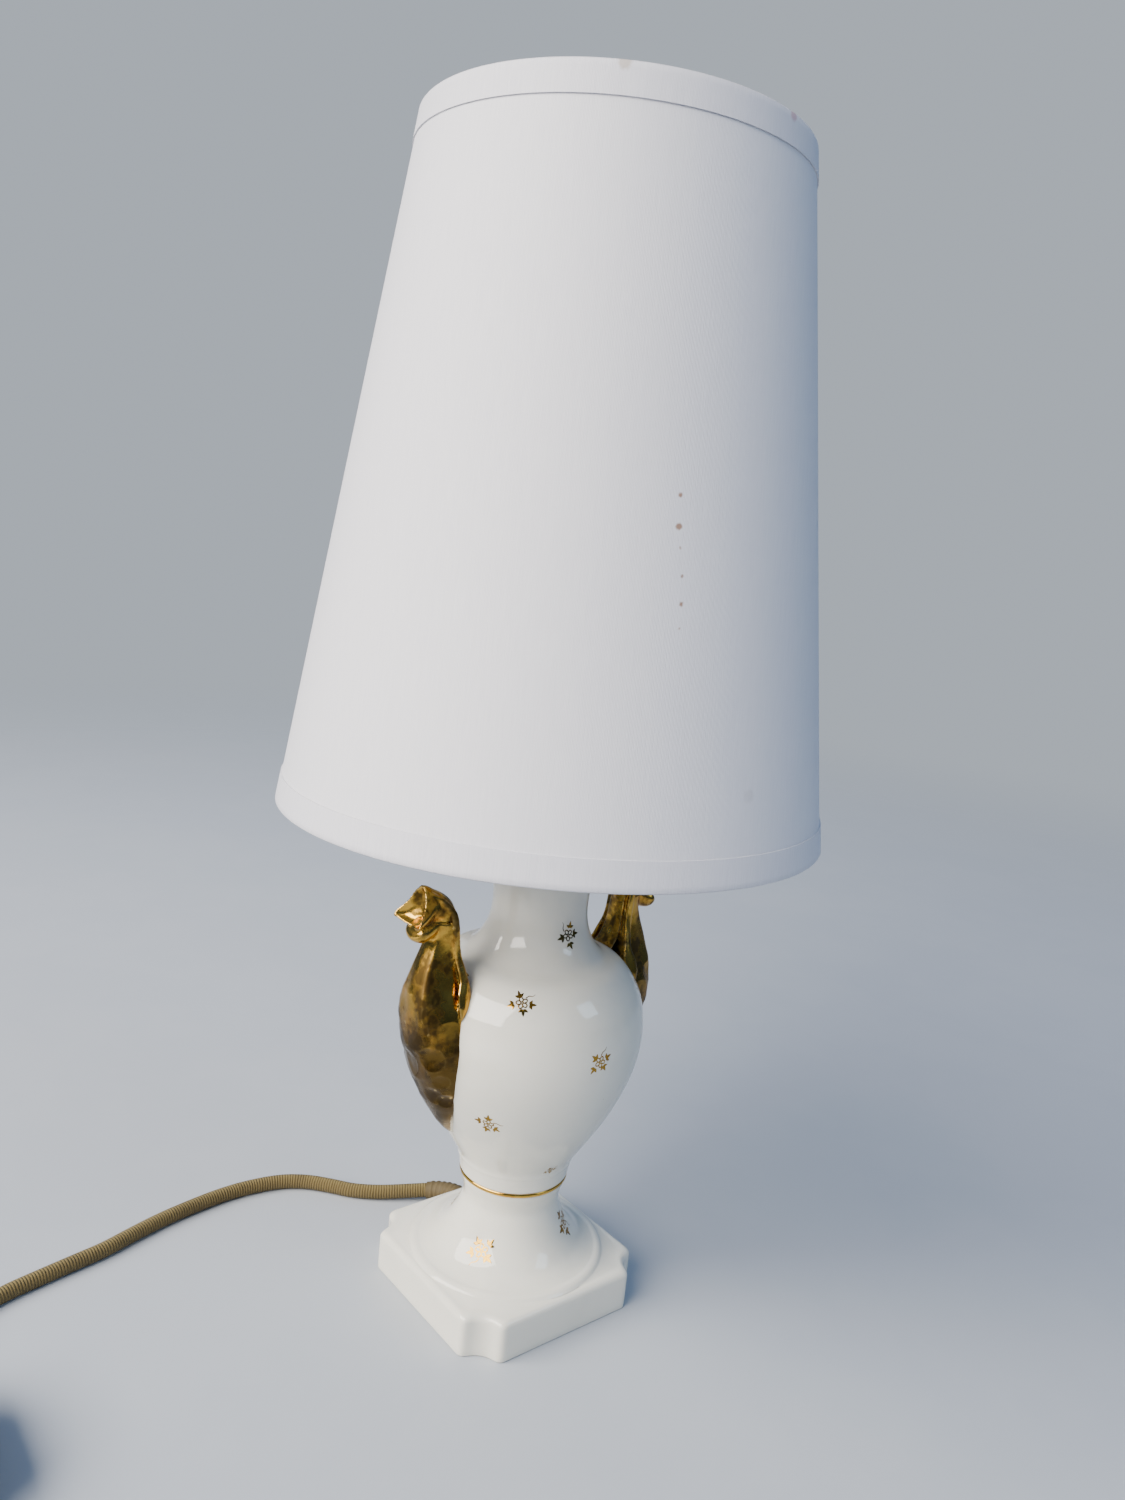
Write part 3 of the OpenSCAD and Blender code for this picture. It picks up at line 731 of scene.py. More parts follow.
@dataclass(frozen=True)
class Metal(Finish):
    """Turned, plated or drawn metal with a darker film in patches."""

    tone: Colour = (0.80, 0.58, 0.26)
    tarnish: Colour = (0.34, 0.22, 0.10)
    age: float = 0.42
    polish: float = 0.22

    def draw(self, g: Graph, body: bpy.types.Node, place: Socket) -> None:
        """Draws fine turning lines, tarnish and bright edges.

        Args:
            g: The material's graph.
            body: The Principled shader.
            place: The place on the object, in metres.
        """
        film = PATCHES.use(g, Place=place, Scale=160.0, Cover=self.age)["Mask"]
        rubbed = EDGE_WEAR.use(g, Place=place, Scale=500.0, Amount=0.8)["Mask"]
        x, y, z = g.split(place)
        lines = STREAKS.use(g, Place=g.join(z, g.sum("ADD", x, y)), Across=9000.0, Along=60.0)["Height"]
        tone = g.mix(g.sum("MULTIPLY", film, 0.6), self.tone, self.tarnish)
        g.feed(body.inputs["Base Color"], g.mix(rubbed, tone, tuple(min(1.0, 1.2 * c) for c in self.tone)))
        g.feed(body.inputs["Metallic"], 1.0)
        g.feed(body.inputs["Roughness"], g.between(film, 0.0, 1.0, self.polish, self.polish + 0.2))
        g.feed(body.inputs["Normal"], g.bump(lines, 0.012 * MM))


@dataclass(frozen=True)
class Moulded(Finish):
    """Moulded plastic, rubber or enamel: one colour with grain, dust and rubbed edges."""

    tone: Colour = (0.030, 0.017, 0.012)
    rubbed: Colour = (0.10, 0.07, 0.055)
    rough: float = 0.28
    grain: float = 0.02 * MM
    dusty: float = 0.10
    dust_tone: Colour = (0.42, 0.40, 0.37)

    def draw(self, g: Graph, body: bpy.types.Node, place: Socket) -> None:
        """Draws faint colour drift, a fine grain, dust on top and lighter edges.

        Args:
            g: The material's graph.
            body: The Principled shader.
            place: The place on the object, in metres.
        """
        drift = PATCHES.use(g, Place=place, Scale=140.0, Cover=0.5)["Mask"]
        edge = EDGE_WEAR.use(g, Place=place, Scale=600.0, Amount=0.7)["Mask"]
        dust = DUST.use(g, Place=place, Amount=self.dusty)["Mask"]
        tone = g.mix(g.sum("MULTIPLY", drift, 0.3), self.tone, tuple(0.75 * c for c in self.tone))
        tone = g.mix(edge, tone, self.rubbed)
        g.feed(body.inputs["Base Color"], g.mix(dust, tone, self.dust_tone))
        g.feed(body.inputs["Roughness"], g.sum("MULTIPLY_ADD", drift, 0.1, self.rough))
        g.feed(body.inputs["Normal"], g.bump(g.noise(place, 2600.0, 2.0), self.grain))


@dataclass(frozen=True)
class Mark:
    """A small stain: where it is, how far it spreads, its colour and how strong it is."""

    place: tuple[float, float, float]
    radius: float
    tone: Colour
    strength: float


@dataclass(frozen=True)
class Cloth(Finish):
    """Woven fabric whose texture places are the cut cloth's own, in metres."""

    tone: Colour = (0.83, 0.82, 0.85)
    deep: Colour = (0.77, 0.76, 0.80)
    pitch: tuple[float, float] = (0.45 * MM, 0.30 * MM)
    relief: float = 0.05 * MM
    slubs: float = 0.06 * MM
    satin: float = 0.25
    dusty: float = 0.12
    dust_tone: Colour = (0.55, 0.52, 0.47)
    marks: tuple[Mark, ...] = ()

    def draw(self, g: Graph, body: bpy.types.Node, place: Socket) -> None:
        """Draws the threads, the slubs along the warp and a faint satin sheen.

        Args:
            g: The material's graph.
            body: The Principled shader.
            place: The place on the object, in metres.
        """
        cloth = g.add("UVMap", uv_map="Places").outputs[0]
        weave = WEAVE.use(g, Place=cloth, Pitch_across=self.pitch[0], Pitch_along=self.pitch[1])
        slubs = STREAKS.use(g, Place=cloth, Across=4200.0, Along=90.0)["Height"]
        dust = DUST.use(g, Place=place, Amount=self.dusty)["Mask"]
        share = g.between(slubs, 0.35, 0.65)
        tone = g.mix(g.sum("MULTIPLY", share, 0.8), self.deep, self.tone)
        tone = g.mix(g.sum("MULTIPLY", weave["Thread"], 0.12), tone, self.deep)
        tone = g.mix(dust, tone, self.dust_tone)
        for mark in self.marks:
            stain = SPOT.use(g, Place=place, Centre=mark.place, Radius=mark.radius)["Mask"]
            tone = g.mix(g.sum("MULTIPLY", stain, mark.strength), tone, mark.tone)
        g.feed(body.inputs["Base Color"], tone)
        g.feed(body.inputs["Roughness"], g.between(share, 0.0, 1.0, 0.68, 0.50))
        threads = g.bump(weave["Height"], self.relief)
        g.feed(body.inputs["Normal"], g.bump(slubs, self.slubs, threads))
        g.feed(body.inputs["Sheen Weight"], self.satin)
        g.feed(body.inputs["Sheen Roughness"], 0.4)
        g.feed(body.inputs["Sheen Tint"], (0.95, 0.95, 1.0))


@dataclass(frozen=True)
class Braid(Finish):
    """The cord's braided sheath: ribs round it with painted shade in their grooves, a lengthwise ridge along
    its top painted lighter as a highlight, and soiled threads.
    """

    tone: Colour = (0.125, 0.086, 0.024)
    # Painted shade for the grooves between the ribs, also the colour of soil
    groove_shade_and_soil: Colour = (0.045, 0.030, 0.010)
    # Lighter thread colour, also the painted highlight along the ridge on the cord's top
    light: Colour = (0.215, 0.16, 0.052)
    rib: float = 1.15 * MM
    relief: float = 0.30 * MM

    def draw(self, g: Graph, body: bpy.types.Node, place: Socket) -> None:
        """Draws ribs and strands from the places along and around the cord.

        Args:
            g: The material's graph.
            body: The Principled shader.
            place: The place on the object, in metres.
        """
        length, turn, _ = g.split(g.add("UVMap", uv_map="Places").outputs[0])
        wander = g.sum("MULTIPLY_ADD", g.noise(place, 300.0, 2.0), 0.5 * self.rib, length)
        wave = g.sum("SINE", g.sum("MULTIPLY", g.sum("DIVIDE", wander, self.rib), math.pi))
        ribs = g.sum("ABSOLUTE", wave)
        soil = PATCHES.use(g, Place=place, Scale=60.0, Cover=0.45)["Mask"]
        fuzz = g.noise(place, 2400.0, 2.0, 0.7)
        # A raised ridge along the cord's top, also painted lighter there as a highlight
        ridge = g.sum("POWER", g.sum("ABSOLUTE", g.sum("COSINE", g.sum("MULTIPLY", turn, math.pi))), 24.0)
        # Painted shade: the grooves between the ribs are darker
        tone = g.mix(g.between(ribs, 0.0, 0.75), self.groove_shade_and_soil, self.tone)
        # Painted highlight along the ridge
        tone = g.mix(g.sum("MULTIPLY", ridge, 0.55), tone, self.light)
        tone = g.mix(g.sum("MULTIPLY", soil, 0.35), tone, self.groove_shade_and_soil)
        g.feed(body.inputs["Base Color"], g.mix(g.sum("MULTIPLY", fuzz, 0.25), tone, self.light))
        g.feed(body.inputs["Roughness"], 0.86)
        height = g.sum("MULTIPLY_ADD", ridge, 0.5, ribs)
        g.feed(body.inputs["Normal"], g.bump(g.sum("MULTIPLY_ADD", fuzz, 0.3, height), self.relief))
        g.feed(body.inputs["Sheen Weight"], 0.04)
        g.feed(body.inputs["Sheen Roughness"], 0.5)


@dataclass(frozen=True)
class ClearGlass(Finish):
    """Thin clear glass with a trace of dust."""

    def draw(self, g: Graph, body: bpy.types.Node, place: Socket) -> None:
        """Makes the shader clear, and roughens it a little where dust lies.

        Args:
            g: The material's graph.
            body: The Principled shader.
            place: The place on the object, in metres.
        """
        dust = DUST.use(g, Place=place, Amount=0.5)["Mask"]
        g.feed(body.inputs["Base Color"], (0.97, 0.98, 0.98))
        g.feed(body.inputs["Transmission Weight"], 1.0)
        g.feed(body.inputs["IOR"], 1.46)
        g.feed(body.inputs["Roughness"], g.between(dust, 0.0, 1.0, 0.01, 0.22))


PORCELAIN = Porcelain("cream_glazed_porcelain", "porcelain")
GOLD = GoldLustre("worn_gold_lustre", "gilded_porcelain")
BURNISHED = GoldLustre(
    "bright_gold_line", "gilded_porcelain", smear=0.3, polish=0.1, painted_low_shade=0.0, crease_shade_amount=0.5
)
BRASS = Metal("lacquered_brass", "brass")
STEEL = Metal("plated_steel", "steel", (0.62, 0.62, 0.61), (0.30, 0.28, 0.25), 0.38, 0.26)
INSULATOR = Porcelain("unglazed_ceramic", "insulator_ceramic", (0.78, 0.76, 0.70), (0.70, 0.67, 0.60), 0.55)
CUSHION = Moulded("black_rubber", "cushion_rubber", (0.035, 0.035, 0.035), (0.08, 0.08, 0.08), 0.7)
BUSH_RUBBER = Moulded(
    "mustard_rubber", "bush_rubber", (0.085, 0.058, 0.018), (0.12, 0.085, 0.03), 0.7, dusty=0.02
)
PLASTIC = Moulded("dark_brown_plastic", "dark_plastic")
ENAMEL = Moulded("white_enamel", "white_wire", (0.74, 0.74, 0.73), (0.80, 0.80, 0.79), 0.35, 0.015 * MM, 0.1)
LAMINATE = Moulded(
    "white_laminate", "shade_liner", (0.78, 0.78, 0.79), (0.82, 0.82, 0.82), 0.42, 0.01 * MM, 0.0
)
GLASS = ClearGlass("clear_bulb_glass", "bulb_glass")
RUST: Colour = (0.34, 0.19, 0.12)
SPECKS = tuple(
    Mark((x * MM, y * MM, z * MM), r * MM, RUST, 0.95)
    for x, y, z, r in (
        (-27.7, -78.9, 310, 1.1), (-27.9, -80.1, 301, 1.45), (-27.5, -81.3, 295, 0.85),
        (-26.8, -82.6, 287, 0.85), (-26.9, -83.8, 279, 1.1), (-27.4, -84.7, 272, 0.75),
    )
)
SMUDGE = Mark((-0.3 * MM, -96.0 * MM, 223 * MM), 3.0 * MM, (0.55, 0.50, 0.50), 0.3)
TAN_STAIN = Mark((-42.7 * MM, -51.8 * MM, 426.5 * MM), 2.6 * MM, (0.42, 0.34, 0.25), 0.6)
RED_STAIN = Mark((13.5 * MM, -65.5 * MM, 426.5 * MM), 2.4 * MM, (0.50, 0.16, 0.20), 0.55)
POLYESTER = Cloth("white_slub_polyester", "shade_fabric", marks=(*SPECKS, SMUDGE))
TAPE = Cloth(
    "white_polyester_tape", "shade_tape", (0.80, 0.79, 0.83), (0.72, 0.71, 0.76), marks=(TAN_STAIN, RED_STAIN)
)
SHEATH = Braid("mustard_braid", "cord_textile")
STRAP = Cloth(
    "black_woven_strap", "tie_strap", (0.03, 0.03, 0.032), (0.015, 0.015, 0.016),
    (0.8 * MM, 0.8 * MM), 0.15 * MM,
)


# ---------------------------------------------------------------- studio


@dataclass
class Viewpoint:
    """The camera: where it stands, where it looks and how it is tilted."""

    place: tuple[float, float, float] = (-0.2606, -0.3193, 0.2922)
    azimuth: float = -39.56
    elevation: float = 10.23
    roll: float = 5.89
    lens: float = 27.06

    def set_up(self) -> None:
        """Makes the camera and sets it as the scene's own."""
        a, e, r = (math.radians(x) for x in (self.azimuth, self.elevation, self.roll))
        back = Vector((math.sin(a) * math.cos(e), -math.cos(a) * math.cos(e), math.sin(e)))
        right = (-back).cross(Vector((0, 0, 1))).normalized()
        up = right.cross(-back)
        turned_right = math.cos(r) * right + math.sin(r) * up
        turned_up = math.cos(r) * up - math.sin(r) * right
        lens = bpy.data.cameras.new("camera")
        lens.lens = self.lens
        lens.clip_start = 0.01
        camera = bpy.data.objects.new("camera", lens)
        camera.matrix_world = Matrix((turned_right, turned_up, back)).transposed().to_4x4()
        camera.location = self.place
        bpy.context.scene.collection.objects.link(camera)
        bpy.context.scene.camera = camera


@dataclass
class Studio:
    """A pale floor, a pale sky and soft lights."""

    floor_half: float = 6.0
    fade: tuple[float, float] = (0.45, 1.7)
    floor_tone: Colour = (0.42, 0.45, 0.49)
    floor_drift: Colour = (0.50, 0.52, 0.54)
    sky_tone: Colour = (0.33, 0.53, 0.98)
    horizon_tone: Colour = (0.13, 0.22, 0.40)
    backdrop_tone: Colour = (1.15, 1.27, 1.42)
    sky_strength: float = 0.40

    def set_up(self) -> None:
        """Builds the floor, the sky and the lamps."""
        self.floor()
        self.sky()
        self.light("window_left", (-1.8, 0.15, 1.45), (0.0, 0.0, 0.25), (2.4, 1.6), 170.0, (1.0, 0.94, 0.86))
        self.light("window_right", (0.75, -1.25, 1.15), (0.0, 0.0, 0.14), (0.5, 0.7), 6.0, (0.55, 0.77, 1.0))
        self.light("fill_back", (0.9, 1.3, 0.9), (0.0, 0.0, 0.2), (1.2, 1.2), 3.0, (0.75, 0.87, 1.0))

    def floor(self) -> None:
        """Lays the floor, which is clear from below so that the underside can be seen."""
        h = self.floor_half
        mesh = bpy.data.meshes.new("floor")
        mesh.from_pydata([(-h, -h, 0), (h, -h, 0), (h, h, 0), (-h, h, 0)], [], [(0, 1, 2, 3)])
        floor = placed(mesh, "floor")
        made = bpy.data.materials.new("pale_floor")
        made.use_nodes = True
        g = Graph(made.node_tree)
        body = made.node_tree.nodes["Principled BSDF"]
        place = g.add("TexCoord").outputs["Object"]
        drift = PATCHES.use(g, Place=place, Scale=9.0, Cover=0.5)["Mask"]
        tone = g.mix(g.sum("MULTIPLY", drift, 0.15), self.floor_tone, self.floor_drift)
        g.feed(body.inputs["Base Color"], tone)
        g.feed(body.inputs["Roughness"], 0.6)
        below = g.add("NewGeometry").outputs["Backfacing"]
        reach = g.add("VectorMath", {0: place}, operation="LENGTH").outputs["Value"]
        gone = g.sum("MAXIMUM", below, g.between(reach, self.fade[0], self.fade[1]))
        clear = g.add("BsdfTransparent").outputs[0]
        shown = g.add("MixShader", {0: gone, 1: body.outputs[0], 2: clear}).outputs[0]
        g.feed(made.node_tree.nodes["Material Output"].inputs["Surface"], shown)
        mesh.materials.append(made)

    def sky(self) -> None:
        """Makes the world pale above and darker low down, so that gloss has something to show."""
        world = bpy.data.worlds.new("sky")
        world.use_nodes = True
        g = Graph(world.node_tree)
        up = g.split(g.add("TexCoord").outputs["Generated"])[2]
        tone = g.mix(g.between(up, -0.05, 0.55), self.horizon_tone, self.sky_tone)
        tone = g.mix(g.add("LightPath").outputs["Is Camera Ray"], tone, self.backdrop_tone)
        background = world.node_tree.nodes["Background"]
        g.feed(background.inputs["Color"], tone)
        g.feed(background.inputs["Strength"], self.sky_strength)
        bpy.context.scene.world = world

    def light(
        self,
        name: str,
        place: tuple[float, float, float],
        target: tuple[float, float, float],
        size: tuple[float, float],
        power: float,
        tone: Colour,
    ) -> None:
        """Hangs a soft rectangular light that looks at target.

        Args:
            name: The light's name.
            place: Where it hangs.
            target: Where it looks.
            size: Its width and height.
            power: Its power in watts.
            tone: Its colour.
        """
        lamp = bpy.data.lights.new(name, "AREA")
        lamp.shape = "RECTANGLE"
        lamp.size, lamp.size_y = size
        lamp.energy = power
        lamp.color = tone
        thing = bpy.data.objects.new(name, lamp)
        thing.location = place
        thing.rotation_mode = "QUATERNION"
        thing.rotation_quaternion = (Vector(target) - Vector(place)).to_track_quat("-Z", "Y")
        bpy.context.scene.collection.objects.link(thing)


# ---------------------------------------------------------------- the cord and what is on it


@dataclass
class Flex:
    """The textile cord: from the foot to the switch, then to a coil and the plug."""

    radius: float = 3.0 * MM
    sides: int = 20
    exit: tuple[float, float, float] = (8 * MM, 41 * MM, 7 * MM)
    switch_exit: tuple[float, float, float] = (-201 * MM, -20 * MM, 8 * MM)
    coil_centre: tuple[float, float] = (-240 * MM, -75 * MM)
    coil_outer: float = 39 * MM
    coil_turns: float = 6.5
    points_a_turn: int = 40

    # The free route's points, in millimetres
    relief = ((8, 41, 7), (8, 42.5, 7), (8, 46, 6.9), (7, 51, 6.4), (4.5, 56, 5.6), (1, 60, 4.8))
    to_switch = (
        (-7, 65, 4), (-17, 71, 3.3), (-26, 78, 3), (-33, 86, 3), (-41, 94, 3), (-51, 99.5, 3),
        (-64, 102, 3), (-77, 102, 3), (-91, 100, 3), (-105, 97, 3), (-118, 93, 3), (-130, 89, 3),
        (-142, 86.5, 3), (-154, 84, 3), (-167, 81, 3), (-180, 76, 3), (-192, 66, 4), (-199.5, 55, 6.5),
        (-201, 47, 8), (-201, 43.5, 8), (-201, 40, 8),
    )
    to_coil = (
        (-201, -20, 8), (-201, -26, 8), (-201, -37, 5.5), (-201, -47, 3.5), (-201, -56, 3), (-201, -62, 3),
    )
    to_plug = (
        (-276, -56, 14.5), (-276, -50, 13.8), (-276, -41, 11), (-276, -33, 8.4), (-276, -26, 7.5),
        (-276, -22, 7.5),
    )

    def coil(self) -> np.ndarray:
        """Winds the turns: in along the table, up a layer, out again, up and off the top.

        Returns:
            The points of the coiled stretch.
        """
        d = 2 * self.radius

        def rise(u: float) -> float:
            """Gives how far the cord has climbed over the turn below it."""
            return d * math.sqrt(max(0.0, 2 * u - u * u))

        def place(t: float) -> tuple[float, float]:
            """Gives the radius and the height after t turns.

            Args:
                t: How many turns are wound.

            Returns:
                The radius and the height.
            """
            if t <= 2:
                return self.coil_outer - d * t, self.radius
            if t <= 3:
                return self.coil_outer - 2 * d, self.radius + rise(t - 2)
            if t <= 5:
                return self.coil_outer - 2 * d + d * (t - 3), self.radius + d
            if t <= 6:
                return self.coil_outer, self.radius + d + rise(t - 5)
            return self.coil_outer - d * (t - 6), self.radius + 2 * d

        points = []
        for i in range(int(self.coil_turns * self.points_a_turn) + 1):
            t = i / self.points_a_turn
            r, z = place(t)
            turn = -2 * math.pi * t
            x, y = self.coil_centre
            points.append((x + r * math.cos(turn), y + r * math.sin(turn), z))
        return np.array(points)

    def tube(self, name: str, route: np.ndarray) -> tuple[bpy.types.Object, np.ndarray]:
        """Makes the round cord along a route.

        Args:
            name: The piece's name.
            route: The points to pass through.

        Returns:
            The piece and the points of its centreline.
        """
        line = spaced(route, 1.5 * MM)
        rings = swept(line, self.radius, self.radius, self.sides)
        at = np.append(along(line), 0.0)
        turn = np.linspace(0, 1, self.sides + 1)
        places = np.stack(np.broadcast_arrays(at[:, None], turn[None, :]), axis=2)
        shell = Shell()
        shell.skin(rings, places=places)
        piece = shell.piece(name)
        SHEATH.put_on(piece)
        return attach(piece, "lamp"), line

    def build(self) -> None:
        """Makes both stretches of cord, with the bush and the tie."""
        bush = self.bush()
        first, line = self.tube("cord_from_foot", smooth(np.array(self.relief + self.to_switch) * MM, 5))
        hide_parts("cord_to_switch")
        log.info("cord_from_foot is %.4f m", along(line)[-1])
        tie = self.tie()
        route = np.vstack([
            smooth(np.array(self.to_coil) * MM, 5), self.coil(), smooth(np.array(self.to_plug) * MM, 5)
        ])
        second, line = self.tube("cord_coiled", smooth(spaced(route, 4 * MM), 3))
        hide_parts("cord_to_coil", "cord_coil", "cord_to_plug")
        log.info("cord_coiled is %.4f m", along(line)[-1])

    def bush(self) -> bpy.types.Object:
        """Makes the tapered strain relief with its flange and ribs.

        Returns:
            The piece.
        """
        line = spaced(smooth(np.array(self.relief[1:]) * MM, 8), 0.35 * MM)
        at = along(line) / along(line)[-1]
        rib = 0.35 * MM * (0.5 + 0.5 * np.cos(2 * math.pi * 8 * at)) * (at < 0.93)
        radius = (4.6 - 1.1 * at) * MM + rib
        shell = Shell()
        shell.skin(swept(line, radius, radius, 32))
        start = np.array(self.exit)
        barrel = ((-6, 3.6), (-5.6, 4.0), (0, 4.0))
        flange = ((0, 5.8), (0.2, 6.0), (1.1, 6.0), (1.5, 5.5))
        for turned, sides in ((barrel, 32), (flange, 40)):
            path = start + np.array([[0, y, 0] for y, _ in turned]) * MM
            reach = np.array([r for _, r in turned]) * MM
            shell.skin(swept(path, reach, reach, sides))
        piece = shell.piece("strain_relief", 40)
        BUSH_RUBBER.put_on(piece)
        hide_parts("cord_bush")
        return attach(piece, "lamp")

    def tie(self) -> bpy.types.Object:
        """Makes the woven strap round the coil, hugging the bundle, with its tail laid over.

        Returns:
            The piece.
        """
        half, corner, thick, wide = 9.1 * MM, 4.5 * MM, 0.7 * MM, 8 * MM
        centre = np.array([self.coil_centre[0], self.coil_centre[1] + 33 * MM, 10.2 * MM])
        inner = half - corner
        corners = (
            ((inner, inner), 0), ((-inner, inner), 90), ((-inner, -inner), 180), ((inner, -inner), 270)
        )
        loop = [p for c, a in corners for p in round_corner(c, corner, a, a + 90, 8)]
        loop = np.array(loop + loop[:10])
        lift = np.linspace(0, 1, len(loop))[:, None] * thick * 1.1
        outwards = unit(loop)
        loop = loop + outwards * lift
        shell = Shell()
        inside, outside = loop, loop + outwards * thick
        edges = ((-0.5, inside), (0.5, inside), (0.5, outside), (-0.5, outside))
        rings = np.stack(
            [np.stack([np.full(len(p), s * wide), p[:, 0], p[:, 1]], axis=1) for s, p in edges], axis=1
        )
        at = along(loop)
        round_strap = np.array([0, wide, wide, 0, 0])[None, :]
        places = np.stack(np.broadcast_arrays(round_strap, np.append(at, 0)[:, None]), axis=2)
        shell.skin(rings + centre, places=places)
        piece = shell.piece("coil_strap", 40)
        STRAP.put_on(piece)
        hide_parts("coil_tie")
        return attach(piece, "lamp")


# ---------------------------------------------------------------- porcelain


@dataclass
class Foot:
    """The square notched plinth, its raised disc and the trumpet that carries the urn."""

    half: float = 41 * MM
    height: float = 16 * MM
    notch: float = 10 * MM
    edge: float = 2.4 * MM
    floor_edge: float = 0.7 * MM
    corner: float = 3.0 * MM
    wall: float = 6 * MM
    around: int = 400

    # The trumpet's outside as [radius, height], in millimetres
    trumpet = (
        (35.6, 17.6), (32.5, 18.6), (28.5, 20.9), (24.6, 25.2), (21.6, 30.4), (19.7, 35.6), (19.0, 39),
        (19.5, 42.5), (20.4, 45.4), (20.8, 47), (20.9, 48.2), (21.0, 49.2),
    )

    def plan_reach(self, turn: np.ndarray, inset: float) -> np.ndarray:
        """Finds how far the rounded, notched square reaches in each direction.

        Args:
            turn: The directions, in radians.
            inset: How far the outline is moved inwards.

        Returns:
            The distance from the axis in each direction.
        """
        x, y = np.abs(np.cos(turn)), np.abs(np.sin(turn))
        low, high = np.zeros_like(turn), np.full_like(turn, 2 * self.half)
        for _ in range(40):
            r = (low + high) / 2
            px, py = r * x, r * y
            sides = np.maximum(px, py) - self.half
            scoop = self.notch - np.hypot(px - self.half, py - self.half)
            blend = np.clip(0.5 + 0.5 * (sides - scoop) / self.corner, 0, 1)
            outside = sides * blend + scoop * (1 - blend) + self.corner * blend * (1 - blend)
            inside = outside + inset < 0
            low, high = np.where(inside, r, low), np.where(inside, high, r)
        return (low + high) / 2

    def build(self) -> bpy.types.Object:
        """Makes the foot as one closed shell with a hollow underside.

        Returns:
            The foot's piece.
        """
        turn = 2 * math.pi * np.arange(self.around) / self.around
        direction = np.stack([np.cos(turn), np.sin(turn)], axis=1)

        def square(inset: float, z: float) -> np.ndarray:
            """Makes a ring of the notched square."""
            reach = self.plan_reach(turn, inset)[:, None]
            return np.hstack([direction * reach, np.full((len(turn), 1), z)])

        def circle(r: float, z: float) -> np.ndarray:
            """Makes a round ring."""
            return np.hstack([direction * r, np.full((len(turn), 1), z)])

        e, h = self.edge, self.height
        f = self.floor_edge
        low = [(f * (1 - math.sin(a)), f * (1 - math.cos(a))) for a in np.radians([0, 30, 60, 90])]
        top = [(e * (1 - math.cos(a)), h - e + e * math.sin(a)) for a in np.radians(np.linspace(0, 90, 9))]
        sides = [(0.0, z * MM) for z in (3, 6, 9, 12)]
        rings = [square(i, z) for i, z in low + sides + top]
        rings.append(square(e + 0.2 * MM, h + 0.02 * MM))
        disc = [
            (38.9, 16.15), (38.5, 16.5), (38.0, 17.0), (37.3, 17.45), (36.5, 17.6), (35.6, 17.7)
        ]
        trumpet = smooth(self.trumpet, 5)
        lip = [(20.9, 49.45), (20.6, 49.5), (12.0, 49.5), (5.4, 49.5), (5.3, 49.4)]
        hollow = [
            (5.3, 44), (5.5, 43.5), (10, 43.5), (14.6, 43.5), (15, 43), (15, 37), (15.4, 33), (18.5, 26),
            (24, 19), (29, 13.5), (31, 11.6),
        ]
        rings += [circle(r * MM, z * MM) for r, z in [*disc, *trumpet[1:], *lip, *hollow]]
        ceiling = ((2.5, 11.0), (0.8, 10.6), (0.0, 9.8), (0.0, 0.6))
        rings += [square(self.wall + i * MM, z * MM) for i, z in ceiling]
        rings.append(square(self.wall - 0.6 * MM, 0.0))
        shell = Shell()
        shell.skin(np.array(rings), loop=True)
        foot = shell.piece("square_foot")
        bore = Shell()
        line = np.array([[8, 26, 7], [8, 50, 7]]) * MM
        bore.skin(swept(line, 4.05 * MM, 4.05 * MM, 48))
        cut(foot, bore.piece("bore"))
        foot.data.set_sharp_from_angle(angle=math.radians(50))
        PORCELAIN.put_on(foot)
        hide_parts("pedestal_foot")
        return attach(foot, "lamp")


